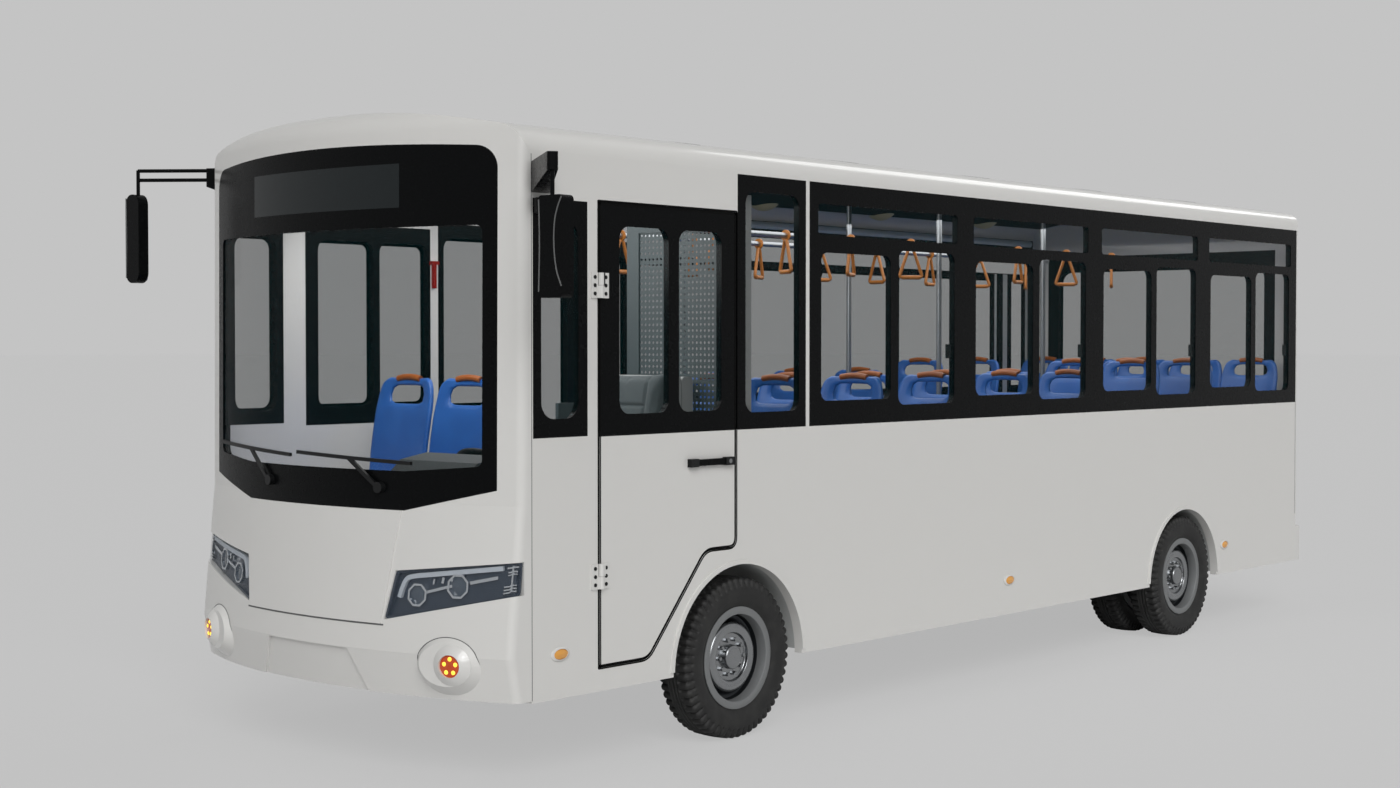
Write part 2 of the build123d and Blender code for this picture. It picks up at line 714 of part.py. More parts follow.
floor_nose = end_points(FRONT_Y + nose_set_back(BUMPER_TOP) + FLOOR_PLAY, NOSE_BOW, CORNER_R, WALL + 1, -1)
floor_plate = block((-INNER_W, INNER_W), (SEAM_Y, PLATFORM_Y - STEP_T), (FLOOR_Z - FLOOR_T, FLOOR_Z))
floor_plate += along_z(end_plan(floor_nose, SEAM_Y), FLOOR_Z - FLOOR_T, FLOOR_Z)
floor_plate -= block((-INNER_W, step_edge + STEP_T + SEAT_GAP), (step_start, step_end), (0, FLOOR_Z))
platform_z = (PLATFORM_Z - FLOOR_T, PLATFORM_Z)
platform = block((-INNER_W, INNER_W), (PLATFORM_Y + SEAT_GAP, REAR_SEAM_Y), platform_z)
for space in arch_cut(LINER_T + SEAT_GAP):
    floor_plate -= space + other_side(space)
    platform -= space + other_side(space)
riser = block((-INNER_W, INNER_W), (PLATFORM_Y - STEP_T, PLATFORM_Y), (FLOOR_Z + SEAT_GAP, PLATFORM_Z))
floors = [floor_plate, platform, riser]
for number in range(STEPS):
    x0 = -INNER_W + number * STEP_DEPTH
    z1 = PASSENGER_BOTTOM + number * step_rise
    x1 = x0 + STEP_DEPTH
    floors.append(block((x0, x1 + STEP_T), (step_start, step_end), (z1, z1 + STEP_T)))
    top = FLOOR_Z if number == STEPS - 1 else z1 + step_rise - SEAT_GAP
    floors.append(block((x1, x1 + STEP_T), (step_start, step_end), (z1 + STEP_T + SEAT_GAP, top)))
PARTS["floor"] = floors

boxes = []
for outer, inner in zip(arch_cut(LINER_T), arch_cut(0)):
    box = outer - inner
    reach = box.bounding_box()
    above = block((reach.min.X, INNER_W), (reach.min.Y, reach.max.Y), (ARCH_Z + LINER_T, reach.max.Z))
    box &= above
    axle_gap = block((reach.min.X, reach.min.X + LINER_T), (reach.min.Y, reach.max.Y),
                     (ARCH_Z, FLOOR_Z - FLOOR_T))
    box -= axle_gap
    boxes += [box, other_side(box)]
PARTS["wheel_boxes"] = boxes

# Chassis: two rails, floor bearers, leaf springs
rail_top = FLOOR_Z - FLOOR_T - BEARER_H
rail_bottom = rail_top - RAIL_H
rail_y = (SEAM_Y + RAIL_END, REAR_SEAM_Y - RAIL_END)
BEARER_AXLE = 640
BEARER_END = 120
BEARERS = [SEAM_Y + BEARER_END, FRONT_AXLE_Y - BEARER_AXLE, FRONT_AXLE_Y + BEARER_AXLE, -620, 100, 820,
           REAR_AXLE_Y - BEARER_AXLE, REAR_AXLE_Y + BEARER_AXLE, REAR_SEAM_Y - BEARER_END]
CROSS_TUBE_R = 40
TUBE_REACH = 330
CROSS_TUBES = [y + end * TUBE_REACH for y in (FRONT_AXLE_Y, REAR_AXLE_Y) for end in (-1, 1)]
SPRING_W = 62
SPRING_T = 40
SPRING_HALF = 560
SPRING_X = RAIL_X + 75
SPRING_SAG = 70
SPRING_LIFT = 62
HANGER_L = 80
HANGER_DROP = 15
PAD_HALF = 70
AXLE_Z = TYRE_R
seat_top = AXLE_Z + SPRING_LIFT

members = []
for side in (-1, 1):
    x = side * RAIL_X
    members.append(block((x - RAIL_W / 2, x + RAIL_W / 2), rail_y, (rail_bottom, rail_top - SEAT_GAP)))
tube_half = RAIL_X - RAIL_W / 2 - SEAT_GAP
for y in CROSS_TUBES:
    members.append(cylinder_x(-tube_half, tube_half, y, (rail_top + rail_bottom) / 2, CROSS_TUBE_R))
stepwell = block((-INNER_W, step_edge + STEP_T + SEAT_GAP), (step_start, step_end), (0, FLOOR_Z))
for y in BEARERS:
    top = FLOOR_Z - FLOOR_T if y < PLATFORM_Y else PLATFORM_Z - FLOOR_T
    bearer = block((-INNER_W, INNER_W), (y - BEARER_W / 2, y + BEARER_W / 2), (rail_top, top - SEAT_GAP))
    members.append(bearer - stepwell)


def spring(axle_y):
    """Curved leaf pack under the left rail, sagging towards the axle."""
    low = seat_top
    top = low + SPRING_SAG
    outer = ThreePointArc((axle_y - SPRING_HALF, top), (axle_y, low), (axle_y + SPRING_HALF, top))
    inner = ThreePointArc((axle_y - SPRING_HALF, top + SPRING_T), (axle_y, low + SPRING_T),
                          (axle_y + SPRING_HALF, top + SPRING_T))
    ends = [Line(outer @ 0, inner @ 0), Line(outer @ 1, inner @ 1)]
    pack = along_x(make_face([outer, inner] + ends), SPRING_X - SPRING_W / 2, SPRING_X + SPRING_W / 2)
    for end in (-1, 1):
        y = axle_y + end * (SPRING_HALF - HANGER_L / 2)
        pack += block((RAIL_X + RAIL_W / 2, SPRING_X + SPRING_W / 2),
                      (y - HANGER_L / 2, y + HANGER_L / 2), (top, rail_top - HANGER_DROP))
    return pack


springs = [spring(y) for y in (FRONT_AXLE_Y, REAR_AXLE_Y)]
PARTS["chassis_frame"] = members
PARTS["leaf_springs"] = springs + [other_side(pack) for pack in springs]

# Front axle beam, with an eye round each kingpin
BEAM_HALF_W = 42
BEAM_H = 84
EYE_R = 44
EYE_H = 112
PIN_PLAY = 0.4
FORK_T = 24
FORK_GAP = 1
YOKE_T = 16
beam = block((-KINGPIN_X, KINGPIN_X), (FRONT_AXLE_Y - BEAM_HALF_W, FRONT_AXLE_Y + BEAM_HALF_W),
             (AXLE_Z - BEAM_H / 2, AXLE_Z + BEAM_H / 2))
for side in (-1, 1):
    x = side * KINGPIN_X
    beam += cylinder_z(x, FRONT_AXLE_Y, AXLE_Z - EYE_H / 2, AXLE_Z + EYE_H / 2, EYE_R)
    sx = side * SPRING_X
    beam += block((sx - SPRING_W / 2, sx + SPRING_W / 2),
                  (FRONT_AXLE_Y - PAD_HALF, FRONT_AXLE_Y + PAD_HALF), (AXLE_Z, seat_top - SEAT_GAP))
for side in (-1, 1):
    x = side * KINGPIN_X
    beam -= cylinder_z(x, FRONT_AXLE_Y, 0, FLOOR_Z, KINGPIN_R + PIN_PLAY)
PARTS["front_axle"] = [beam]

HUB_PLAY = 1
HUB_IN = 60
AXLE_HUB_GAP = 20
HUB_OUT = 62
CAP_R = 62
CAP_T = 14
STUB_PLAY = 2
YOKE_PLAY = 6
yoke_x = KINGPIN_X + EYE_R + YOKE_PLAY
stub_end = WHEEL_X + HUB_OUT - CAP_T - STUB_PLAY


def knuckle():
    """Left steering knuckle: kingpin, fork, yoke and stub axle."""
    z_low, z_high = AXLE_Z - EYE_H / 2 - FORK_GAP, AXLE_Z + EYE_H / 2 + FORK_GAP
    fork_y = (FRONT_AXLE_Y - EYE_R, FRONT_AXLE_Y + EYE_R)
    piece = cylinder_z(KINGPIN_X, FRONT_AXLE_Y, z_low - FORK_T, z_high + FORK_T, KINGPIN_R)
    for low, high in ((z_low - FORK_T, z_low), (z_high, z_high + FORK_T)):
        piece += cylinder_z(KINGPIN_X, FRONT_AXLE_Y, low, high, EYE_R)
        piece += block((KINGPIN_X, yoke_x + YOKE_T), fork_y, (low, high))
    piece += block((yoke_x, yoke_x + YOKE_T), fork_y, (z_low - FORK_T, z_high + FORK_T))
    piece += cylinder_x(yoke_x, stub_end, FRONT_AXLE_Y, AXLE_Z, STUB_R)
    return piece


left_knuckle = knuckle()
PARTS["knuckle_left"] = [left_knuckle]
PARTS["knuckle_right"] = [other_side(left_knuckle)]

# Rear axle with its final drive, and the propeller shaft
AXLE_TUBE_R = 62
DIFF_R = 165
twin_in_x = WHEEL_X - TWIN_SPACING
AXLE_PLAY = 6
axle_end = twin_in_x - HUB_IN - AXLE_PLAY
MOTOR_Y = (REAR_AXLE_Y - 1150, REAR_AXLE_Y - 560)
MOTOR_R = 150
MOTOR_Z = AXLE_Z + 60
FLANGE_L = 60
FLANGE_R = 48
SHAFT_R = 34
rear_axle = cylinder_x(-axle_end, axle_end, REAR_AXLE_Y, AXLE_Z, AXLE_TUBE_R)
rear_axle += Pos(0, REAR_AXLE_Y, AXLE_Z) * Sphere(DIFF_R)
rear_axle += cylinder_x(-stub_end, stub_end, REAR_AXLE_Y, AXLE_Z, STUB_R)
shaft_start = MOTOR_Y[1] + SEAT_GAP
rear_axle += rod((0, shaft_start, MOTOR_Z), (0, shaft_start + FLANGE_L, MOTOR_Z), FLANGE_R)
rear_axle += rod((0, shaft_start + FLANGE_L / 2, MOTOR_Z), (0, REAR_AXLE_Y, AXLE_Z), SHAFT_R)
for side in (-1, 1):
    sx = side * SPRING_X
    rear_axle += block((sx - SPRING_W / 2, sx + SPRING_W / 2),
                       (REAR_AXLE_Y - PAD_HALF, REAR_AXLE_Y + PAD_HALF), (AXLE_Z, seat_top - SEAT_GAP))
PARTS["rear_axle"] = [rear_axle]

# Battery packs under the floor and the traction motor
PACK_PLAY = 15
PACK_INSET = 70
PACK_LOW = 390
PACK_AXLE_GAP = 600
PACK_STEP_GAP = 60
PACK_X = (RAIL_X + RAIL_W / 2 + PACK_PLAY, HALF_W - PACK_INSET)
PACK_Z = (PACK_LOW, rail_top)
LEFT_PACK_Y = (FRONT_AXLE_Y + PACK_AXLE_GAP, REAR_AXLE_Y - PACK_AXLE_GAP)
RIGHT_PACK_Y = (step_end + PACK_STEP_GAP, REAR_AXLE_Y - PACK_AXLE_GAP)
left_pack = block(PACK_X, LEFT_PACK_Y, PACK_Z)
right_pack = other_side(block(PACK_X, RIGHT_PACK_Y, PACK_Z))
MOUNT_L = 120
MOUNT_LIFT = 10
MOUNT_H = 80
motor_y = sum(MOTOR_Y) / 2
motor = Pos(0, motor_y, MOTOR_Z) * Rot(90, 0, 0) * Cylinder(MOTOR_R, MOTOR_Y[1] - MOTOR_Y[0])
motor += block((-RAIL_X + RAIL_W / 2, RAIL_X - RAIL_W / 2),
               (motor_y - MOUNT_L / 2, motor_y + MOUNT_L / 2),
               (rail_bottom + MOUNT_LIFT, rail_bottom + MOUNT_LIFT + MOUNT_H))
PARTS["drive_units"] = [left_pack, right_pack, motor]


# Wheels about X at the origin, then placed; profiles hold (x outwards, radius)
BEAD_HALF = 78
FLANGE_PLAY = 3
BULGE_R = 305
SHOULDER_HALF = 93
TREAD_EDGE_R = 364
TREAD_HALF = 76
TREAD_DROP = 4


def ring(profile):
    """Solid of revolution about the axle from a closed profile."""
    return revolve(Plane.XZ * Polygon(*profile, align=None), axis=Axis.X)


def tyre():
    """Tyre out to the tips of its tread blocks."""
    outer = [
        (BEAD_HALF, BEAD_R + SEAT_GAP), (BEAD_HALF, RIM_FLANGE_R + FLANGE_PLAY), (TYRE_W / 2, BULGE_R),
        (SHOULDER_HALF, TREAD_EDGE_R), (TREAD_HALF, TYRE_R - TREAD_DROP), (TREAD_HALF / 2, TYRE_R),
    ]
    return ring(outer + [flip(point) for point in reversed(outer)])


RIM_T = 10
FLANGE_T = 9
RIM_HALF = BEAD_HALF - 1
DISC_T = 12
VALLEY_X = 14
VALLEY_R = 188
CREST_X = 48
CREST_R = 160
FACE_X = 40
FACE_R = 118
HUB_SEAT = 5
INNER_DISC_X = 20


def barrel():
    """Rim barrel with a flange at each end."""
    outer = [(RIM_HALF, BEAD_R - RIM_T), (RIM_HALF + FLANGE_T, BEAD_R - RIM_T),
             (RIM_HALF + FLANGE_T, RIM_FLANGE_R), (RIM_HALF + 1, RIM_FLANGE_R), (RIM_HALF + 1, BEAD_R)]
    return ring(outer + [flip(point) for point in reversed(outer)])


def rim(hub_in):
    """Pressed steel wheel: barrel, domed disc and a hub bored for the stub axle."""
    face = [(VALLEY_X, BEAD_R - RIM_T / 2), (VALLEY_X, VALLEY_R), (CREST_X, CREST_R), (FACE_X, FACE_R),
            (FACE_X, HUB_R - HUB_SEAT)]
    back = [(x - DISC_T, radius) for x, radius in reversed(face)]
    bore = STUB_R + HUB_PLAY
    hub = [(-hub_in, bore), (HUB_OUT - CAP_T, bore), (HUB_OUT - CAP_T, 0), (HUB_OUT, 0), (HUB_OUT, CAP_R),
           (FACE_X, HUB_R), (-hub_in, HUB_R)]
    return barrel() + ring(face + back) + ring(hub)


FRONT_HUB_IN = 15
tyre_solid = tyre()
front_rim = rim(FRONT_HUB_IN)
inner_disc = Plane.XZ * rect(INNER_DISC_X, INNER_DISC_X + DISC_T, HUB_R - HUB_SEAT, BEAD_R - RIM_T / 2)
inner_rim = barrel() + revolve(inner_disc, axis=Axis.X)
rear_rims = rim(TWIN_SPACING + HUB_IN - AXLE_HUB_GAP) + Pos(-TWIN_SPACING, 0, 0) * inner_rim

front_place = Pos(WHEEL_X, FRONT_AXLE_Y, AXLE_Z)
rear_place = Pos(WHEEL_X, REAR_AXLE_Y, AXLE_Z)
twin_place = Pos(WHEEL_X - TWIN_SPACING, REAR_AXLE_Y, AXLE_Z)
# columns: node, solids on the left side
WHEELS = [
    ("front_{}_tyre", [front_place * tyre_solid]),
    ("front_{}_rim", [front_place * front_rim]),
    ("rear_{}_tyres", [rear_place * tyre_solid, twin_place * tyre_solid]),
    ("rear_{}_rims", [rear_place * rear_rims]),
]
for name, solids in WHEELS:
    PARTS[name.format("left")] = solids
    PARTS[name.format("right")] = [other_side(solid) for solid in solids]

# Seats: moulded shells on pedestals, each with a hand hole under its top bar
SEAT_W = 420
SEAT_T = 36
PAN_H = 430
PAN_DEPTH = 400
BACK_H = 1000
BACK_LEAN = 90
BACK_R = 95
HOLE_W = 250
HOLE_H = 80
HOLE_DROP = 45
GRIP_W = 170
GRIP_R = 17
LEG_W = 70
LEG_DEPTH = 100
LEG_BACK = 50
PAN_DROP = 15
HOLE_R = 25
GRIP_SINK = 8.5
PLATFORM_BACK_DROP = 90
PLATFORM_FOOT = 320
ROW_X = 830
AISLE_X = 400
# columns: X of the seat's middle, distance of its back behind the seam
FRONT_SEATS = [(-600, 760), (-150, 760)]
LEFT_ROWS = (1955, 2610, 3330, 4090, 4810, 5610, 6330)
RIGHT_ROWS = (3530, 4210, 4890, 5610, 6330)
BENCH_ROW = 7300
BENCH_X = (-840, -420, 0, 420, 840)


def seat(x, back_y):
    """One seat facing forward, standing on the floor below it, and its top grip."""
    raised = back_y - PAN_DEPTH > PLATFORM_Y - PLATFORM_FOOT
    base = PLATFORM_Z if raised else FLOOR_Z
    pan_z = base + PAN_H
    back_z = base + BACK_H - (PLATFORM_BACK_DROP if raised else 0)
    foot_y = back_y - BACK_LEAN
    pan_y = foot_y - PAN_DEPTH
    half = SEAT_W / 2
    profile = Polygon(
        (pan_y, pan_z), (foot_y + SEAT_T, pan_z - PAN_DROP), (back_y + SEAT_T, back_z), (back_y, back_z),
        (foot_y, pan_z + SEAT_T), (pan_y, pan_z + SEAT_T), align=None)
    shell = along_x(profile, x - half, x + half)
    back_outline = rounded(x - half, x + half, base, back_z, BACK_R)
    pan_outline = block((x - half, x + half), (pan_y, foot_y - PAN_DROP), (base, back_z))
    shell &= along_y(back_outline, foot_y - PAN_DROP, back_y + SEAT_T) + pan_outline
    hole_top = back_z - HOLE_DROP
    hole = rounded(x - HOLE_W / 2, x + HOLE_W / 2, hole_top - HOLE_H, hole_top, HOLE_R)
    shell -= along_y(hole, foot_y, back_y + SEAT_T)
    leg_y = (foot_y - LEG_BACK - LEG_DEPTH, foot_y - LEG_BACK)
    shell += block((x - LEG_W / 2, x + LEG_W / 2), leg_y, (base, pan_z + SEAT_T / 2))
    grip_centre = Pos(back_y + SEAT_T / 2, back_z + GRIP_R - GRIP_SINK)
    grip = along_x(grip_centre * Circle(GRIP_R), x - GRIP_W / 2, x + GRIP_W / 2)
    return shell, grip - shell


PLACES = [(x, behind_seam(d)) for x, d in FRONT_SEATS]
PLACES += [(x, behind_seam(d)) for d in LEFT_ROWS for x in (ROW_X, AISLE_X)]
PLACES += [(-ROW_X, behind_seam(d)) for d in RIGHT_ROWS]
PLACES += [(x, behind_seam(BENCH_ROW)) for x in BENCH_X]
seats, grips = [], []
for x, back_y in PLACES:
    shell_solid, grip_solid = seat(x, back_y)
    seats.append(shell_solid)
    grips.append(grip_solid)
PARTS["seats"] = seats

# Grab rails along the aisle on posts, and hanging hand straps
RAIL_TUBE_R = 16
GRAB_LINES = (140, -560)
GRAB_Z = 2500
GRAB_Y = (behind_seam(1970), behind_seam(6870))
POSTS = (2050, 4435, 5660)
STRAP_PITCH = 610
STRAP_W = 130
STRAP_H = 230
STRAP_T = 14
STRAP_BAR = 20
STRAP_LIFT = 14
STRAP_TOP = 22
STRAP_NECK = 6
LOOP_T = 12
LOOP_W = 30
FIRST_STRAP = 330
LAST_STRAP = 300


def ceiling_z(reach):
    """Height of the ceiling at a distance from the middle of the bus."""
    return HEIGHT - CROWN_R + math.sqrt((CROWN_R - WALL) ** 2 - reach ** 2)


def grab_rail(x):
    top = ceiling_z(abs(x) + RAIL_TUBE_R) - SEAT_GAP
    rail = rod((x, GRAB_Y[0], GRAB_Z), (x, GRAB_Y[1], GRAB_Z), RAIL_TUBE_R)
    for distance in POSTS:
        y = behind_seam(distance)
        base = PLATFORM_Z if y > PLATFORM_Y else FLOOR_Z
        rail += cylinder_z(x, y, base, top, RAIL_TUBE_R)
    return rail


def strap(x, y):
    """Triangular hand strap hung from the rail by a loop."""
    top = GRAB_Z + RAIL_TUBE_R + STRAP_LIFT
    low = top - STRAP_H
    half = STRAP_W / 2
    outer = Polygon((y - STRAP_TOP, top), (y + STRAP_TOP, top), (y + half, low), (y - half, low), align=None)
    neck_z = GRAB_Z - RAIL_TUBE_R - STRAP_LIFT
    inner = Polygon((y - STRAP_NECK, neck_z), (y + STRAP_NECK, neck_z),
                    (y + half - STRAP_BAR, low + STRAP_BAR),
                    (y - half + STRAP_BAR, low + STRAP_BAR), align=None)
    frame = along_x(outer - inner, x - STRAP_T / 2, x + STRAP_T / 2)
    along_rail = Pos(x, y, GRAB_Z) * Rot(90, 0, 0)
    loop = along_rail * Cylinder(RAIL_TUBE_R + LOOP_T, LOOP_W)
    hole = along_rail * Cylinder(RAIL_TUBE_R + SEAT_GAP, STRAP_W)
    return frame + loop - hole


PARTS["grab_rails"] = [grab_rail(x) for x in GRAB_LINES]
straps = []
count = int((GRAB_Y[1] - GRAB_Y[0] - LAST_STRAP) // STRAP_PITCH)
for number in range(count + 1):
    y = GRAB_Y[0] + FIRST_STRAP + number * STRAP_PITCH
    straps += [strap(x, y) for x in GRAB_LINES]
PARTS["hand_holds"] = grips + straps

# Driver's place: dashboard, steering wheel, seat and partition
DASH_X = (40, 1030)
DASH_Z = (930, 1300)
DASH_Y = (behind_seam(-185), behind_seam(180))
HOOD_X = (290, 800)
HOOD_Z = 1395
STEER = (545, behind_seam(365), 1295)
STEER_R = 220
STEER_TUBE_R = 16
COLUMN_L = 360
STEER_TILT = 30
SILL_H = 200
DASH_SLOPE = 60
HOOD_START = 60
HOOD_RISE = 150
HOOD_DROP = 25
HOOD_EDGE = 30
HOOD_SINK = 10
DASH_LEG_IN = 60
DASH_LEG = (130, 160)
COLUMN_R = 28
BOSS_R = 60
BOSS_T = 50
BOSS_DROP = 20
SPOKE_W = 36
SPOKE_T = 16
SPOKES = (90, 210, 330)

dash_profile = Polygon(
    (DASH_Y[0], DASH_Z[0]), (DASH_Y[1], DASH_Z[0]), (DASH_Y[1], DASH_Z[0] + SILL_H),
    (DASH_Y[1] - DASH_SLOPE, DASH_Z[1]), (DASH_Y[0], DASH_Z[1]), align=None)
dash = along_x(dash_profile, *DASH_X)
hood_back = DASH_Y[1] - DASH_SLOPE
hood_profile = Polygon(
    (DASH_Y[0] + HOOD_START, DASH_Z[1] - HOOD_SINK), (hood_back, DASH_Z[1] - HOOD_SINK),
    (hood_back + HOOD_EDGE, HOOD_Z - HOOD_DROP), (hood_back, HOOD_Z),
    (DASH_Y[0] + HOOD_RISE, HOOD_Z - HOOD_DROP), align=None)
dash += along_x(hood_profile, *HOOD_X)
dash &= nose(WALL + 1, LENGTH / 4)
dash += block((DASH_X[0] + DASH_LEG_IN, DASH_X[1] - DASH_LEG_IN),
              (DASH_Y[0] + DASH_LEG[0], DASH_Y[1] - DASH_LEG[1]), (FLOOR_Z, DASH_Z[0] + HOOD_SINK))

tilt = math.radians(STEER_TILT)
steer_plane = Plane(origin=STEER, x_dir=(1, 0, 0), z_dir=(0, math.sin(tilt), math.cos(tilt)))
wheel = steer_plane * Torus(STEER_R, STEER_TUBE_R)
wheel += steer_plane * Pos(0, 0, -BOSS_DROP) * Cylinder(BOSS_R, BOSS_T)
for angle in SPOKES:
    spoke = Pos(STEER_R / 2, 0, -SPOKE_T / 2) * Box(STEER_R, SPOKE_W, SPOKE_T)
    wheel += steer_plane * Rot(0, 0, angle) * spoke
PARTS["steering_wheel"] = [wheel]
column_top = -BOSS_DROP - BOSS_T / 2 - SEAT_GAP
column = steer_plane * Pos(0, 0, column_top - COLUMN_L / 2) * Cylinder(COLUMN_R, COLUMN_L)
PARTS["dashboard"] = [dash + column]

DRIVER_X = 560
DRIVER_BACK = 1205
DRIVER_W = 480
DRIVER_DEPTH = 560
DRIVER_CUSHION_Z = (1120, 1240)
DRIVER_BACK_TOP = 1770
DRIVER_BACK_T = 100
DRIVER_LEAN = 100
DRIVER_FOOT = (-40, 130)
PEDESTAL_X = (-150, 40)
PEDESTAL_Y = (80, 230)
driver_y = behind_seam(DRIVER_BACK)
cushion_front = driver_y - DRIVER_DEPTH
back_front = driver_y + DRIVER_FOOT[0]
driver_profile = Polygon(
    (cushion_front, DRIVER_CUSHION_Z[0]), (back_front, DRIVER_CUSHION_Z[0]),
    (back_front + DRIVER_LEAN, DRIVER_BACK_TOP), (back_front + DRIVER_LEAN - DRIVER_BACK_T, DRIVER_BACK_TOP),
    (driver_y - DRIVER_FOOT[1], DRIVER_CUSHION_Z[1]), (cushion_front, DRIVER_CUSHION_Z[1]), align=None)
driver_seat = along_x(driver_profile, DRIVER_X - DRIVER_W / 2, DRIVER_X + DRIVER_W / 2)
driver_seat += block((DRIVER_X + PEDESTAL_X[0], DRIVER_X + PEDESTAL_X[1]),
                     (cushion_front + PEDESTAL_Y[0], cushion_front + PEDESTAL_Y[1]),
                     (FLOOR_Z, sum(DRIVER_CUSHION_Z) / 2))
PARTS["driver_seat"] = [driver_seat]

PARTITION_Y = behind_seam(1435)
PARTITION_X = (300, INNER_W)
PARTITION_TOP = 2480
PARTITION_T = 20
GATE_Z = 1600
GATE_Y = behind_seam(930)
box_top = ARCH_Z + FRONT_ARCH_R + LINER_T
panel_y = (PARTITION_Y, PARTITION_Y + PARTITION_T)
panel = block(PARTITION_X, panel_y, (FLOOR_Z, PARTITION_TOP))
panel -= block((FRONT_LINER_X - LINER_T - 1, HALF_W), panel_y, (0, box_top + 1))
panel += block((PARTITION_X[0], PARTITION_X[0] + PARTITION_T), (GATE_Y, PARTITION_Y), (FLOOR_Z, GATE_Z))
PARTS["partition"] = [panel]

# Destination display behind the top of the windscreen
DISPLAY_HALF = 520
DISPLAY_Z = (2470, 2700)
DISPLAY_Y = (behind_seam(-170), behind_seam(-70))
HANGER_X = 420
HANGER_W = 40
display = block((-DISPLAY_HALF, DISPLAY_HALF), DISPLAY_Y, DISPLAY_Z)
hang_z = ceiling_z(HANGER_X + HANGER_W / 2)
for side in (-1, 1):
    x = side * HANGER_X
    display += block((x - HANGER_W / 2, x + HANGER_W / 2), DISPLAY_Y, (DISPLAY_Z[1], hang_z - SEAT_GAP))
PARTS["display_box"] = [display]

# Mirrors hung from arms at the screen's top corners, and two wipers
MIRROR_X = 1466
MIRROR_Y = behind_seam(-235)
ARM_ROOT_X = 1060
ARM_ROOT_Y = behind_seam(85)
ARM_ROOT_W = 90
ARM_BACK = 200
ARM_TIP_W = 44
BAR_R = 9
BAR_SINK = 20
# columns: side, arm's tip X, its low and high ends at the root, the same at the tip
ARMS = [
    (1, 1482, 2525, 2655, 2590, 2655),
    (1, 1165, 2436, 2501, 2436, 2501),
    (-1, 1193, 2635, 2755, 2690, 2758),
]
# columns: side, middle X, width, depth, low and high ends, corner radius, rod's top, Z of its bars
HEADS = [
    (1, 1484, 144, 62, 2070, 2480, 22, 2620, ()),
    (-1, 1480, 114, 56, 2190, 2630, 54, 2750, (2701, 2747)),
]


def arm_point(x):
    """Point above the line from a body corner to its mirror, at some X."""
    share = (x - ARM_ROOT_X) / (MIRROR_X - ARM_ROOT_X)
    return (x, ARM_ROOT_Y + share * (MIRROR_Y - ARM_ROOT_Y))


def mirror_arm(tip_x, root_low, root_high, tip_low, tip_high):
    """Left-hand wedge arm from the body's corner, slimmer towards its tip."""
    root, tip = arm_point(ARM_ROOT_X), arm_point(tip_x)
    along = math.hypot(tip[0] - root[0], tip[1] - root[1])
    across = ((root[1] - tip[1]) / along, (tip[0] - root[0]) / along)
    plan = []
    for point, half in ((root, -ARM_ROOT_W / 2), (tip, -ARM_TIP_W / 2), (tip, ARM_TIP_W / 2),
                        (root, ARM_ROOT_W / 2)):
        plan.append((point[0] + half * across[0], point[1] + half * across[1]))
    sketch = Polygon(*plan, align=None)
    tip_corners = sketch.vertices().sort_by(Axis.X)[-2:]
    arm = along_z(fillet(tip_corners, ARM_TIP_W / 3), root_low, max(root_high, tip_high))
    reach = tip_x + ARM_TIP_W
    wedge = Polygon((ARM_ROOT_X - ARM_ROOT_W, root_low), (HALF_W, root_low), (reach, tip_low),
                    (reach, tip_high), (ARM_ROOT_X - ARM_ROOT_W, root_high), align=None)
    arm &= along_y(wedge, MIRROR_Y - ARM_ROOT_W, SEAM_Y + ARM_BACK)
    return arm - nose(-SEAT_GAP, ARM_BACK)


def mirror_head(middle, width, depth, low, high, corner, rod_top, bars):
    """Left-hand head hung on a rod, with bars back to its arm where it has any."""
    outline = rounded(middle - width / 2, middle + width / 2, low, high, corner)
    head = along_y(outline, MIRROR_Y - depth / 2, MIRROR_Y + depth / 2)
    head += cylinder_z(MIRROR_X, MIRROR_Y, high - BAR_SINK, rod_top, BAR_R)
    for z in bars:
        head += rod((*arm_point(ARM_BAR_X), z), (MIRROR_X, MIRROR_Y, z), BAR_R)
    return head


ARM_BAR_X = ARMS[-1][1] - BAR_SINK
left_mirror = [mirror_head(*sizes) for side, *sizes in HEADS if side > 0]
left_mirror += [mirror_arm(*sizes) for side, *sizes in ARMS if side > 0]
right_mirror = [mirror_head(*sizes) for side, *sizes in HEADS if side < 0]
right_mirror += [mirror_arm(*sizes) for side, *sizes in ARMS if side < 0]
mirrors = [left_mirror[0] + left_mirror[1], left_mirror[2]]
mirrors.append(other_side(right_mirror[0] + right_mirror[1]))
PARTS["mirrors"] = mirrors

WIPER_LIFT = 12
WIPER_T = 12
BLADE_W = 16
WIPER_ARM_W = 18
WIPER_BOSS_R = 24
# columns: pivot X, pivot Z, blade's two ends as (x, z)
WIPERS = [(-350, 1262, (-880, 1418), (-160, 1385)), (420, 1262, (-110, 1400), (600, 1372))]
blade_skin = nose(-WIPER_LIFT - WIPER_T) - nose(-WIPER_LIFT)
boss_skin = nose(-WIPER_LIFT - WIPER_T) - nose(-SEAT_GAP)


def bar_sketch(start, end, width):
    length = math.hypot(end[0] - start[0], end[1] - start[1])
    angle = math.degrees(math.atan2(end[1] - start[1], end[0] - start[0]))
    middle = Pos((start[0] + end[0]) / 2, (start[1] + end[1]) / 2)
    return middle * Rot(0, 0, angle) * Rectangle(length, width)


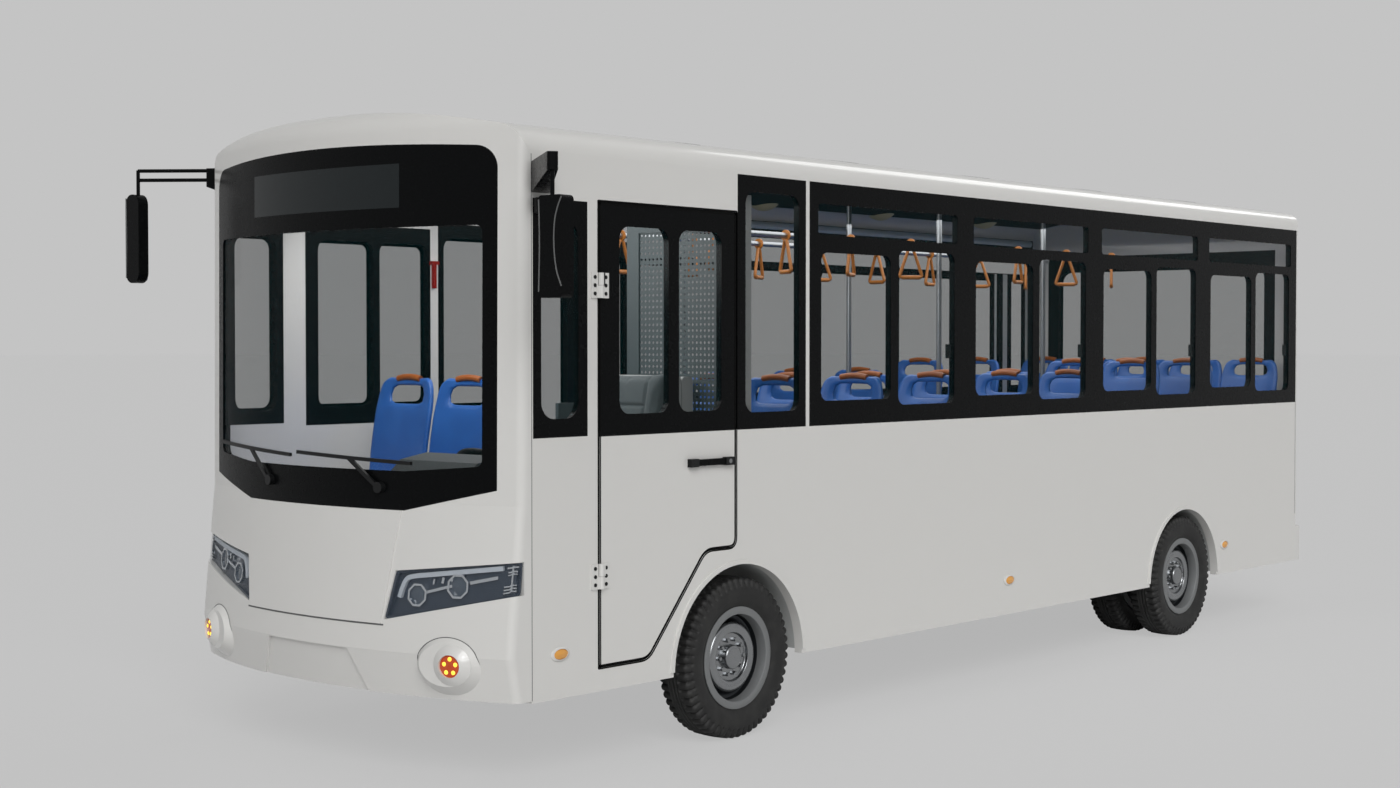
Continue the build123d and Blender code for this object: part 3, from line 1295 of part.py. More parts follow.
wipers = []
for pivot_x, pivot_z, end_a, end_b in WIPERS:
    blade_middle = ((end_a[0] + end_b[0]) / 2, (end_a[1] + end_b[1]) / 2)
    lines = bar_sketch(end_a, end_b, BLADE_W) + bar_sketch((pivot_x, pivot_z), blade_middle, WIPER_ARM_W)
    piece = blade_skin & through_nose(lines)
    piece += boss_skin & through_nose(Pos(pivot_x, pivot_z) * Circle(WIPER_BOSS_R))
    wipers.append(piece)
PARTS["wipers"] = wipers

# Tow eyes for an upright pin, hung from the rails' ends
TOW_R = 21
TOW_W = 100
TOW_T = 32
TOW_Z = 440
TOW_REACH = 40
TOW_WEB = 90
tows = []
for end, rail_end in ((-1, rail_y[0]), (1, rail_y[1])):
    bore_y = rail_end + end * TOW_REACH
    web = sorted((rail_end, rail_end - end * TOW_WEB))
    plate = sorted((bore_y, rail_end - end * TOW_WEB))
    eye = block((RAIL_X - TOW_W / 2, RAIL_X + TOW_W / 2), plate, (TOW_Z - TOW_T / 2, TOW_Z + TOW_T / 2))
    eye += cylinder_z(RAIL_X, bore_y, TOW_Z - TOW_T / 2, TOW_Z + TOW_T / 2, TOW_W / 2)
    eye += block((RAIL_X - RAIL_W / 2, RAIL_X + RAIL_W / 2), web, (TOW_Z, rail_bottom - SEAT_GAP))
    tows.append(eye - cylinder_z(RAIL_X, bore_y, 0, FLOOR_Z, TOW_R))
PARTS["tow_eyes"] = tows

for name, shapes in PARTS.items():
    solids = solids_of(shapes)
    whole = solids[0] if len(solids) == 1 else Compound(children=solids)
    whole.label = name
    export_step(whole, os.path.join("parts", name + ".step"))
    print(f"{name}: {len(solids)} solids")
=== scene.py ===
# %% [markdown]
# An eight metre electric city bus, dressed for the camera.
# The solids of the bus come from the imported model, which gives every place and size here.
# This lesson adds what solids are poor at: finishes, moulded seats, tyre lugs, lamps and small trim.

import json
import math

import bmesh
import bpy
import numpy as np
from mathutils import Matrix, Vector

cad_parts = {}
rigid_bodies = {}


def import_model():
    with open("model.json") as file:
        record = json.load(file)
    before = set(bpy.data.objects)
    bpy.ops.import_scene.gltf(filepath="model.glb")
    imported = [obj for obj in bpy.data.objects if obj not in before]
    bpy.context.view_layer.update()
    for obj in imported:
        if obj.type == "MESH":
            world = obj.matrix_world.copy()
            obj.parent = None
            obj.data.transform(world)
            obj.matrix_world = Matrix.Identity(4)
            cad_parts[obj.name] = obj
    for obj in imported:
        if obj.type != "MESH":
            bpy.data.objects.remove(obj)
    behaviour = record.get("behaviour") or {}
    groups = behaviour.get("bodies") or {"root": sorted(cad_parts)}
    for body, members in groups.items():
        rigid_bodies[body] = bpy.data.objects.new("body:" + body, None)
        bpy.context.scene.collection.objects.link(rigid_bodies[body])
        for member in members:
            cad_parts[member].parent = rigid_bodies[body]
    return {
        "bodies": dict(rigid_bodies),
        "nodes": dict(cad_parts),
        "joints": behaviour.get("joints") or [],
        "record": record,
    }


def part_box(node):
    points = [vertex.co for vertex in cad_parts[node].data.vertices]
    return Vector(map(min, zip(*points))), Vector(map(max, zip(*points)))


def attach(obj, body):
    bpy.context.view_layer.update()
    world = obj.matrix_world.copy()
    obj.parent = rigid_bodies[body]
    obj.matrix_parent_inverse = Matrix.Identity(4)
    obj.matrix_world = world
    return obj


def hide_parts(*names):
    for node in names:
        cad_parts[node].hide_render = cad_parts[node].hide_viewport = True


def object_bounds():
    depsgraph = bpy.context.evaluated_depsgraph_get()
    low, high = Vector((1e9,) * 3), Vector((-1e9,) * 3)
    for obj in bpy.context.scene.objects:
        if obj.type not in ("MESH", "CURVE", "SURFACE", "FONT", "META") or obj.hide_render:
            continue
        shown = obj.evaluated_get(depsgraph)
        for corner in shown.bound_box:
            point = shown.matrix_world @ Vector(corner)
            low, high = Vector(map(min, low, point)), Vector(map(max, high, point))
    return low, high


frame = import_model()
CAD_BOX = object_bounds()
NODES = frame["nodes"]
print("nodes", len(NODES), "box", [list(corner) for corner in CAD_BOX])

# %% [markdown]
# A finish on the real bus is a paint, a plastic or a metal, and each one is a Principled shader here.
# Colours are written the way a paint chart gives them, in sRGB hex, and one function makes them linear.
# One helper adds any node with its settings, which keeps the node trees short enough to read.

# %% Colour and node helpers


def linear(hex_colour):
    """Linear RGBA: a channel below 0.04045 is divided by 12.92, others follow the 2.4 power curve."""
    channels = np.array([int(hex_colour[i:i + 2], 16) for i in (1, 3, 5)]) / 255
    curve = np.where(channels <= 0.04045, channels / 12.92, ((channels + 0.055) / 1.055) ** 2.4)
    return (*curve.tolist(), 1.0)


def add_node(tree, kind, inputs=None, **settings):
    """Adds a node; inputs map a socket's name to a value, or to another node's output."""
    node = tree.nodes.new(kind)
    for name, value in settings.items():
        setattr(node, name, value)
    for name, value in (inputs or {}).items():
        if isinstance(value, bpy.types.NodeSocket):
            tree.links.new(value, node.inputs[name])
        else:
            node.inputs[name].default_value = value
    return node


def finish_of(name, colour, roughness, more=None):
    """A material of one Principled shader, and that shader for what is linked to it later."""
    material = bpy.data.materials.new(name)
    material.use_nodes = True
    material.node_tree.nodes.clear()
    inputs = {"Base Color": linear(colour), "Roughness": roughness}
    inputs.update(more or {})
    shader = add_node(material.node_tree, "ShaderNodeBsdfPrincipled", inputs)
    add_node(material.node_tree, "ShaderNodeOutputMaterial", {"Surface": shader.outputs["BSDF"]})
    return material, shader


def noise_of(tree, size_mm, detail):
    """Noise on the piece's own coordinates, whose patches have a real size in millimetres."""
    place = add_node(tree, "ShaderNodeTexCoord")
    return add_node(tree, "ShaderNodeTexNoise", {
        "Vector": place.outputs["Object"], "Scale": 1000 / size_mm, "Detail": detail})


def grain(material, shader, size_mm, depth_mm, strength, spread=0.04):
    """Fine noise lifts the surface by a real depth, and makes its roughness go up and down by the spread."""
    tree = material.node_tree
    noise = noise_of(tree, size_mm, 2.0)
    bump = add_node(tree, "ShaderNodeBump", {
        "Height": noise.outputs["Fac"], "Strength": strength, "Distance": depth_mm / 1000})
    tree.links.new(bump.outputs["Normal"], shader.inputs["Normal"])
    middle = shader.inputs["Roughness"].default_value
    gloss = add_node(tree, "ShaderNodeMapRange", {
        "Value": noise.outputs["Fac"], "To Min": middle - spread, "To Max": middle + spread})
    tree.links.new(gloss.outputs["Result"], shader.inputs["Roughness"])


def speckle(material, shader, size_mm, colour, low, high):
    """A second colour comes in where a noise rises from low to high."""
    tree = material.node_tree
    share = add_node(tree, "ShaderNodeMapRange", {
        "Value": noise_of(tree, size_mm, 3.0).outputs["Fac"], "From Min": low, "From Max": high})
    base = tuple(shader.inputs["Base Color"].default_value)
    mix = add_node(tree, "ShaderNodeMix", {
        0: share.outputs["Result"], 6: base, 7: linear(colour)}, data_type="RGBA")
    tree.links.new(mix.outputs[2], shader.inputs["Base Color"])


print("helpers ready")

# %% [markdown]
# The body is steel and glass fibre under white two-pack paint, a satin colour coat below a clear gloss coat.
# The window surrounds are black gloss mouldings, and the panes are grey-green tinted safety glass.
# Glass is a plain see-through shader here: a pane has two faces, so each face takes a share of the tint.

# %% Body finishes
# White paint: a soft white with a sharp, weak shine from the clear coat and a trace of orange peel.
WHITE_PAINT, shader = finish_of("two pack white paint", "#D8D7D4", 0.40, {
    "Coat Weight": 0.7, "Coat Roughness": 0.06})
grain(WHITE_PAINT, shader, 60, 0.05, 0.15)
# Black moulding: deep and even, with only a faint shine.
BLACK_GLOSS, shader = finish_of("black gloss moulding", "#0A0B0C", 0.27, {"Specular IOR Level": 0.06})
grain(BLACK_GLOSS, shader, 40, 0.03, 0.10)
# Tinted glass: a cool grey-green that darkens what lies behind it.
TINTED_GLASS, shader = finish_of("tinted safety glass", "#021E20", 0.03, {
    "Alpha": 0.225, "Specular IOR Level": 0.08})
grain(TINTED_GLASS, shader, 300, 0.02, 0.05, 0.01)
# Lamp cover: almost unseen, but for its shine.
CLEAR_COVER, shader = finish_of("clear polycarbonate", "#5A6470", 0.04, {"Alpha": 0.10})
grain(CLEAR_COVER, shader, 200, 0.02, 0.05, 0.01)
# Black plastic: a moulded grain that breaks up the shine.
BLACK_PLASTIC, shader = finish_of("black grained ABS", "#0F1011", 0.45, {"Specular IOR Level": 0.25})
grain(BLACK_PLASTIC, shader, 2.0, 0.15, 0.3)
# Seal rubber: flat black without shine.
RUBBER_SEAL, shader = finish_of("black seal rubber", "#060606", 0.8, {"Specular IOR Level": 0.1})
grain(RUBBER_SEAL, shader, 4.0, 0.1, 0.2)
# Mirror glass: a clean silver picture of what stands behind.
MIRROR_GLASS, shader = finish_of("silvered mirror glass", "#C9CED2", 0.03, {"Metallic": 1.0})
grain(MIRROR_GLASS, shader, 300, 0.02, 0.03, 0.01)
print("body finishes ready")

# %% [markdown]
# Inside are grey moulded plastic, blue seat shells, brown grips and brushed stainless rails.
# Moulded parts get a fine grain, and cloth and floor a second colour in flecks, so that no face looks empty.

# %% Cabin finishes
# Moulded plastic and boards: even greys with a fine grain.
GREY_PLASTIC, shader = finish_of("grey moulded ABS", "#54595A", 0.55)
grain(GREY_PLASTIC, shader, 2.5, 0.2, 0.25)
PALE_LINER, shader = finish_of("pale grey liner board", "#A9ABAA", 0.5)
grain(PALE_LINER, shader, 3.0, 0.1, 0.2)
MOULDING_BLUE, shader = finish_of("pale blue extruded trim", "#BFCBD1", 0.35)
grain(MOULDING_BLUE, shader, 8.0, 0.05, 0.15)
# Ceiling sheet: near black, the painted shade of the ceiling under the roof.
CEILING_SHADE, shader = finish_of("near black sheet, painted ceiling shade", "#0C0F10", 0.85, {"Specular IOR Level": 0.1})
grain(CEILING_SHADE, shader, 4.0, 0.3, 0.3)
# Powder coat: a dull grey with tiny dimples.
PARTITION_GREY, shader = finish_of("grey powder coat", "#4B5557", 0.5)
grain(PARTITION_GREY, shader, 1.5, 0.1, 0.25)
# Floor vinyl: grey with paler flecks that hide dirt.
FLOOR_VINYL, shader = finish_of("grey flecked floor vinyl", "#62666A", 0.6)
grain(FLOOR_VINYL, shader, 5.0, 0.2, 0.2)
speckle(FLOOR_VINYL, shader, 9.0, "#8F9496", 0.56, 0.62)
# Seat shells: strong blue with a soft shine, a little uneven as moulded parts are.
BLUE_SHELL, shader = finish_of("blue moulded polypropylene", "#2A62B0", 0.34)
grain(BLUE_SHELL, shader, 1.8, 0.1, 0.2)
speckle(BLUE_SHELL, shader, 140, "#2F69B8", 0.45, 0.60)
# Grips and straps: orange brown plastic, smooth from many hands.
GRIP_BROWN, shader = finish_of("brown moulded grip", "#9E5418", 0.42)
grain(GRIP_BROWN, shader, 2.0, 0.1, 0.2)
STRAP_ORANGE, shader = finish_of("orange nylon strap", "#AD6A24", 0.42)
grain(STRAP_ORANGE, shader, 2.0, 0.1, 0.2)
# Seat cloth: a grey melange weave with a soft edge light; its threads are drawn coarse so that they show.
SEAT_CLOTH, shader = finish_of("grey woven seat cloth", "#4A5254", 0.85, {"Sheen Weight": 0.25})
grain(SEAT_CLOTH, shader, 3.0, 0.5, 0.5)
speckle(SEAT_CLOTH, shader, 5.0, "#5C6567", 0.48, 0.58)
# Stainless rails: bright lines along the tubes, blurred by brushing.
RAIL_STEEL, shader = finish_of("brushed stainless steel", "#A9ADB0", 0.32, {"Metallic": 1.0})
grain(RAIL_STEEL, shader, 1.5, 0.05, 0.2)
# Opal lens: a warm matt white.
WARM_LENS, shader = finish_of("opal ceiling lens", "#C9BE92", 0.5)
grain(WARM_LENS, shader, 20, 0.05, 0.1)
print("cabin finishes ready")

# %% [markdown]
# Under the floor everything is black chassis paint, and the wheels are pressed steel with a silver finish.
# Tyre rubber has no gloss, so its shape reads only from the lugs and the soft edge light.
# Lamps are the opposite: clear colours and plated metal under a shine.

# %% Wheel, lamp and chassis finishes
# Chassis paint: black with a film of grey road dust.
CHASSIS_PAINT, shader = finish_of("black chassis paint", "#191A1B", 0.5)
grain(CHASSIS_PAINT, shader, 5.0, 0.2, 0.25)
speckle(CHASSIS_PAINT, shader, 160, "#2B2A28", 0.45, 0.65)
# Tyre rubber: dull black, a little greyer where dust stays.
TYRE_RUBBER, shader = finish_of("carbon black tyre rubber", "#111111", 0.66)
grain(TYRE_RUBBER, shader, 6.0, 0.3, 0.3)
speckle(TYRE_RUBBER, shader, 70, "#1E1E1D", 0.45, 0.65)
# Rims: matt silver paint on the ring, a dark steel colour in the gutter as painted shade, a bright pressed
# centre.
RIM_SILVER, shader = finish_of("silver painted steel", "#7B7D7E", 0.48, {"Metallic": 0.35})
grain(RIM_SILVER, shader, 3.0, 0.05, 0.2)
RIM_GUTTER_SHADE, shader = finish_of("dark steel with painted gutter shade", "#34373A", 0.35, {"Metallic": 0.8})
grain(RIM_GUTTER_SHADE, shader, 12, 0.05, 0.2)
RIM_POLISHED, shader = finish_of("polished steel", "#8F9193", 0.22, {"Metallic": 1.0})
grain(RIM_POLISHED, shader, 25, 0.03, 0.1)
# Lenses: clear strong colours under a shine.
AMBER_LENS, shader = finish_of("amber acrylic lens", "#E2A045", 0.22, {"Coat Weight": 0.5})
grain(AMBER_LENS, shader, 7.0, 0.1, 0.2)
RED_LENS, shader = finish_of("red acrylic lens", "#8E1512", 0.2, {"Coat Weight": 0.5})
grain(RED_LENS, shader, 7.0, 0.1, 0.2)
PALE_LENS, shader = finish_of("clear ribbed lens", "#C6CACC", 0.2, {"Coat Weight": 0.5})
grain(PALE_LENS, shader, 7.0, 0.1, 0.2)
FOG_LENS, shader = finish_of("orange fog lens", "#C9480F", 0.25, {"Coat Weight": 0.5})
grain(FOG_LENS, shader, 7.0, 0.1, 0.2)
LED_YELLOW, shader = finish_of("yellow lamp diode", "#FFD84A", 0.4, {
    "Emission Color": linear("#FFD84A"), "Emission Strength": 1.0})
# Headlamp insides: a slate tray with plated rims and a frosted light guide.
LAMP_SLATE, shader = finish_of("slate blue lamp tray", "#2F3844", 0.35)
grain(LAMP_SLATE, shader, 10, 0.05, 0.15)
LAMP_CHROME, shader = finish_of("vapour plated chrome", "#D4D8DC", 0.1, {"Metallic": 1.0})
grain(LAMP_CHROME, shader, 30, 0.02, 0.1)
LIGHT_GUIDE, shader = finish_of("frosted light guide", "#C3CAD2", 0.4)
grain(LIGHT_GUIDE, shader, 4.0, 0.1, 0.2)
LAMP_EYE, shader = finish_of("moulded lamp lens", "#4A545F", 0.08, {"Coat Weight": 0.5})
grain(LAMP_EYE, shader, 60, 0.02, 0.1)
# Sign cover: smoked and nearly black. Seam sealer: a thin grey line; the same grey paints the highlights
# along the mirror heads' crease and edge.
SIGN_FACE, shader = finish_of("smoked sign cover", "#161C1E", 0.15, {"Specular IOR Level": 0.25})
grain(SIGN_FACE, shader, 80, 0.02, 0.1)
SEAM_AND_HIGHLIGHT_GREY, shader = finish_of("dark seam sealer and painted highlight grey", "#5E5F5F", 0.6)
grain(SEAM_AND_HIGHLIGHT_GREY, shader, 4.0, 0.05, 0.2)
print("wheel, lamp and chassis finishes ready")

# %% [markdown]
# Every solid of the bus gets its finish from this table.
# A solid that a later piece stands in for still gets one, so a plain view of the frame looks right too.

# %% Finishes for the solids
SOLID_FINISHES = {
    "left_wall right_wall roof front_mask bumpers rear_panel driver_door": WHITE_PAINT,
    "left_band right_band windscreen_frame rear_window_frame driver_door_frame": BLACK_GLOSS,
    "front_leaf rear_leaf mirrors": BLACK_GLOSS,
    "window_glass windscreen driver_door_glass front_leaf_glass rear_leaf_glass": TINTED_GLASS,
    "headlamps": LAMP_SLATE,
    "amber_lamps": AMBER_LENS,
    "tail_lamps": RED_LENS,
    "wipers steering_wheel": BLACK_PLASTIC,
    "dashboard": GREY_PLASTIC,
    "wheel_boxes": PALE_LINER,
    "partition": PARTITION_GREY,
    "display_box": SIGN_FACE,
    "floor": FLOOR_VINYL,
    "seats": BLUE_SHELL,
    "driver_seat": SEAT_CLOTH,
    "hand_holds": STRAP_ORANGE,
    "grab_rails": RAIL_STEEL,
    "chassis_frame leaf_springs front_axle rear_axle drive_units tow_eyes": CHASSIS_PAINT,
    "knuckle_left knuckle_right": CHASSIS_PAINT,
    "front_left_tyre front_right_tyre rear_left_tyres rear_right_tyres": TYRE_RUBBER,
    "front_left_rim front_right_rim rear_left_rims rear_right_rims": RIM_SILVER,
}
for names, material in SOLID_FINISHES.items():
    for name in names.split():
        NODES[name].data.materials.clear()
        NODES[name].data.materials.append(material)
print("solids with a finish", sum(len(names.split()) for names in SOLID_FINISHES))

# %% [markdown]
# New pieces are surfaces worked out as arrays of points, so a shape is a pair: points and lists of faces.
# A grid of points becomes quads, a profile turned about an axis becomes a ring, and a section carried
# along a line becomes a tube. Each one is a few lines of numpy, and the same few serve the whole bus.

# %% Shape helpers


def grid_quads(rows, columns, close_rows=False, close_columns=False):
    """Corner numbers of the quads between neighbouring rows and columns; a closed direction joins round."""
    row = np.arange(rows if close_rows else rows - 1)[:, None]
    column = np.arange(columns if close_columns else columns - 1)[None, :]
    next_row = (row + 1) % rows
    next_column = (column + 1) % columns
    corners = [row * columns + column, row * columns + next_column,
               next_row * columns + next_column, next_row * columns + column]
    return np.stack(np.broadcast_arrays(*corners), axis=-1).reshape(-1, 4)


def joined(shapes):
    """All shapes as one: points stacked, and face numbers moved on by the points before them."""
    counts = np.cumsum([0] + [len(points) for points, faces in shapes])
    points = np.concatenate([points for points, faces in shapes])
    faces = [group + start for (_, groups), start in zip(shapes, counts) for group in groups]
    return points, faces


def mirrored(shape):
    """The same shape on the other side of the bus: X changes its sign."""
    points, faces = shape
    return points * (-1, 1, 1), faces


def smooth_line(points, steps):
    """Catmull-Rom line: each span between two points is a cubic whose ends run along their neighbours."""
    points = np.asarray(points, float)
    ends = np.concatenate([[2 * points[0] - points[1]], points, [2 * points[-1] - points[-2]]])
    p0, p1, p2, p3 = ends[:-3, None], ends[1:-2, None], ends[2:-1, None], ends[3:, None]
    t = (np.arange(steps) / steps)[None, :, None]
    spans = p1 + 0.5 * t * (p2 - p0 + t * (2 * p0 - 5 * p1 + 4 * p2 - p3 + t * (3 * (p1 - p2) + p3 - p0)))
    return np.concatenate([spans.reshape(-1, points.shape[1]), points[-1:]])


def turned(profile, count, centre):
    """Ring about the X axis: a point at (across, radius) goes to across, radius cos a, radius sin a."""
    angle = np.linspace(0, 2 * np.pi, count, endpoint=False)[:, None]
    across, radius = np.asarray(profile, float).T
    points = np.stack(np.broadcast_arrays(across, radius * np.cos(angle), radius * np.sin(angle)), -1)
    return points.reshape(-1, 3) + centre, [grid_quads(count, len(across), close_rows=True)]


def tube(path, section, closed=False, up=(0, 0, 1)):
    """Section of (side, up) offsets carried along a path; side is square to the path and to up."""
    path = np.asarray(path, float)
    section = np.asarray(section, float)
    ahead = np.roll(path, -1, 0) - np.roll(path, 1, 0) if closed else np.gradient(path, axis=0)
    ahead /= np.linalg.norm(ahead, axis=1, keepdims=True)
    side = np.cross(ahead, up)
    side /= np.linalg.norm(side, axis=1, keepdims=True)
    top = np.cross(side, ahead)
    points = path[:, None] + side[:, None] * section[None, :, :1] + top[:, None] * section[None, :, 1:]
    rows, columns = len(path), len(section)
    faces = [grid_quads(rows, columns, close_rows=closed, close_columns=True)]
    if not closed:
        faces += [np.arange(columns)[None], np.arange((rows - 1) * columns, rows * columns)[None]]
    return points.reshape(-1, 3), faces


def round_section(radius, sides=10):
    """Circle of (side, up) offsets."""
    angle = np.linspace(0, 2 * np.pi, sides, endpoint=False)
    return np.stack([radius * np.cos(angle), radius * np.sin(angle)], -1)


BOX_FACES = np.array([[0, 1, 3, 2], [4, 6, 7, 5], [0, 4, 5, 1], [2, 3, 7, 6], [0, 2, 6, 4], [1, 5, 7, 3]])
BOX_CORNERS = np.array([[i, j, k] for i in (0, 1) for j in (0, 1) for k in (0, 1)])


def boxes(limits):
    """Boxes from rows of (x0, x1, y0, y1, z0, z1): each corner takes the low or the high value."""
    limits = np.asarray(limits, float).reshape(-1, 3, 2)
    low, high = limits[:, None, :, 0], limits[:, None, :, 1]
    points = low + (high - low) * BOX_CORNERS[None]
    faces = BOX_FACES[None] + 8 * np.arange(len(limits))[:, None, None]
    return points.reshape(-1, 3), [faces.reshape(-1, 4)]


def prism(outlines):
    """Solid between rows of matching outlines, with the first and the last closed by a face."""
    outlines = np.asarray(outlines, float)
    rows, columns = outlines.shape[:2]
    faces = [grid_quads(rows, columns, close_columns=True), np.arange(columns)[None],
             np.arange((rows - 1) * columns, rows * columns)[None]]
    return outlines.reshape(-1, 3), faces


def make_piece(name, shape, material, body="bus_body", replaces=(), sharp=40, weld=False):
    """Puts a shape into a mesh with its faces outwards, and lets it ride on a body of the bus."""
    points, groups = shape
    mesh = bpy.data.meshes.new(name)
    mesh.from_pydata(points.tolist(), [], [face for group in groups for face in group.tolist()])
    work = bmesh.new()
    work.from_mesh(mesh)
    if weld:
        bmesh.ops.remove_doubles(work, verts=work.verts, dist=1e-5)
    bmesh.ops.recalc_face_normals(work, faces=work.faces)
    work.to_mesh(mesh)
    work.free()
    mesh.polygons.foreach_set("use_smooth", np.ones(len(mesh.polygons), bool))
    mesh.set_sharp_from_angle(angle=math.radians(sharp))
    mesh.materials.append(material)
    piece = bpy.data.objects.new(name, mesh)
    bpy.context.scene.collection.objects.link(piece)
    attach(piece, body)
    if replaces:
        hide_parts(*replaces)
    print(name, len(mesh.vertices), "points")
    return piece


print("shape helpers ready")

# %% [markdown]
# The tyres are block-tread lorry tyres: smooth walls, and a row of short rounded lugs round each shoulder.
# A modelled lug repeated by hand would do, but one formula is shorter: a tyre is a ring whose radius
# drops into a groove between the lugs. The grooves fade out down the wall, as the moulded ones do.

# %% Tyres
AXLE_Z = sum(corner.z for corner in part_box("front_left_tyre")) / 2
FRONT_Y = sum(corner.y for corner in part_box("front_left_tyre")) / 2
REAR_Y = sum(corner.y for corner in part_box("rear_left_tyres")) / 2
WHEEL_X = sum(corner.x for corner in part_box("front_left_tyre")) / 2
TWIN_X = WHEEL_X - 0.300
TYRE_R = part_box("front_left_tyre")[1].z - AXLE_Z
LUGS = 56
LUG_STEPS = 10
GROOVE_DEPTH = 0.017
WALL_TUCK = 0.008
RIB_GROOVES = (0.0, 0.022)
WALL_LINE = [(0.078, 0.2225), (0.080, 0.248), (0.094, 0.276), (0.0995, 0.306), (0.0985, 0.335),
             (0.0945, 0.352), (0.0925, 0.364), (0.086, 0.377), (0.074, 0.3845)]


def tyre(centre_x, axle_y):
    """Wall line and tread line as a ring; the radius drops by the 2.6 power of the way off a lug's middle."""
    wall = smooth_line(WALL_LINE, 3)
    tread_across = np.linspace(0.070, -0.070, 29)
    tread = np.stack([tread_across, TYRE_R - 0.6 * tread_across ** 2], -1)
    loop = np.concatenate([wall, tread, wall[::-1] * (-1, 1)])
    across, radius = loop.T
    angle = np.linspace(0, 2 * np.pi, LUGS * LUG_STEPS, endpoint=False)[:, None]
    turn = LUGS * angle / (2 * np.pi) + 0.25 * np.sign(across)
    gap = np.abs(2 * (turn % 1) - 1) ** 2.6
    fade = np.clip((radius - 0.334) / 0.022, 0, 1) * np.clip((np.abs(across) - 0.030) / 0.010, 0, 1)
    ribs = sum(np.exp(-((np.abs(across) - place) / 0.004) ** 2) for place in RIB_GROOVES)
    sunk = GROOVE_DEPTH * np.maximum(gap * fade, 0.6 * ribs * (radius > 0.37))
    tuck = WALL_TUCK * gap * fade * np.clip((np.abs(across) - 0.078) / 0.008, 0, 1)
    ring = radius - sunk
    side = np.broadcast_to(across, ring.shape) - np.sign(across) * tuck
    points = np.stack([side, ring * np.cos(angle), ring * np.sin(angle)], -1).reshape(-1, 3)
    quads = grid_quads(LUGS * LUG_STEPS, len(across), close_rows=True, close_columns=True)
    return points + (centre_x, axle_y, AXLE_Z), [quads]


# columns: node's first words, body, outer wheel's X, axle Y, twin's X or None
WHEELS = [
    ("front_left", "front_left_wheel", WHEEL_X, FRONT_Y, None),
    ("front_right", "front_right_wheel", -WHEEL_X, FRONT_Y, None),
    ("rear_left", "rear_left_wheels", WHEEL_X, REAR_Y, TWIN_X),
    ("rear_right", "rear_right_wheels", -WHEEL_X, REAR_Y, -TWIN_X),
]
for name, body, wheel_x, axle_y, twin_x in WHEELS:
    places = [x for x in (wheel_x, twin_x) if x is not None]
    node = name + ("_tyres" if twin_x else "_tyre")
    make_piece(name + "_lugged_tyre", joined([tyre(x, axle_y) for x in places]), TYRE_RUBBER,
               body, [node], sharp=50)

# %% [markdown]
# The rims are pressed steel: a silver outer ring, a deep gutter with its shade painted in a dark colour, and
# a polished dished centre with nuts.
# Each is a closed profile turned about the axle, and a piece of its own, because it has its own finish.
# The nuts are six-sided prisms set round in a circle by one array.

# %% Rims
RING_LINE = [(-0.077, 0.2220), (0.077, 0.2220), (0.0775, 0.2440), (0.0805, 0.2452), (0.0838, 0.2447),
             (0.0848, 0.2428), (0.0848, 0.2135), (0.0835, 0.2100), (0.0800, 0.2082), (0.0400, 0.2066),
             (-0.0860, 0.2066), (-0.0860, 0.2450), (-0.0770, 0.2450)]
GUTTER_LINE = [(0.0300, 0.2064), (0.0080, 0.2010), (0.0020, 0.1900), (0.0040, 0.1780), (0.0120, 0.1700),
               (-0.0060, 0.1700), (-0.0060, 0.2064)]
DOME_LINE = [(0.0080, 0.1690), (0.0250, 0.1722), (0.0400, 0.1672), (0.0490, 0.1570), (0.0505, 0.1440),
             (0.0482, 0.1280), (0.0466, 0.1205), (0.0440, 0.1178), (0.0330, 0.1140), (0.0302, 0.1060),
             (0.0300, 0.0640), (0.0330, 0.0600), (0.0530, 0.0575), (0.0600, 0.0500), (0.0620, 0.0300),
             (0.0620, 0.0010)]
DOME_BACK = [(0.0200, 0.0010), (0.0200, 0.1050), (0.0260, 0.1240), (0.0300, 0.1440)]
RIM_STEPS = 96
NUTS = 10
NUT_CIRCLE = 0.085
NUT_R = 0.0105
NUT_X = (0.028, 0.044, 0.048)


def rim_ring(line, centre):
    """Outer ring or gutter: its closed line turned about the axle."""
    points, _ = turned(np.array(line), RIM_STEPS, centre)
    return points, [grid_quads(RIM_STEPS, len(line), close_rows=True, close_columns=True)]


def rim_dome(centre):
    """Dished centre: a smooth front line and a plain back line, closed and turned about the axle."""
    line = np.concatenate([smooth_line(DOME_LINE, 4), DOME_BACK])
    points, _ = turned(line, RIM_STEPS, centre)
    return points, [grid_quads(RIM_STEPS, len(line), close_rows=True, close_columns=True)]


def wheel_nuts(centre):
    """Hexagons at three depths, the last one smaller for the chamfer, repeated round the nut circle."""
    turn = np.linspace(0, 2 * np.pi, NUTS, endpoint=False)
    corner = np.linspace(0, 2 * np.pi, 6, endpoint=False)
    depths = np.array(NUT_X)[None, :, None]
    radii = np.array([NUT_R, NUT_R, 0.8 * NUT_R])[None, :, None]
    side = NUT_CIRCLE * np.cos(turn)[:, None, None] + radii * np.cos(corner)
    rise = NUT_CIRCLE * np.sin(turn)[:, None, None] + radii * np.sin(corner)
    rings = np.stack(np.broadcast_arrays(depths, side, rise), -1)
    points, faces = joined([prism(ring) for ring in rings])
    return points + centre, faces


def outward(shape, side):
    """A wheel shape that faces +X, turned to face the side it stands on, about its own wheel's middle."""
    points, faces = shape
    return points * (side, 1, 1), faces


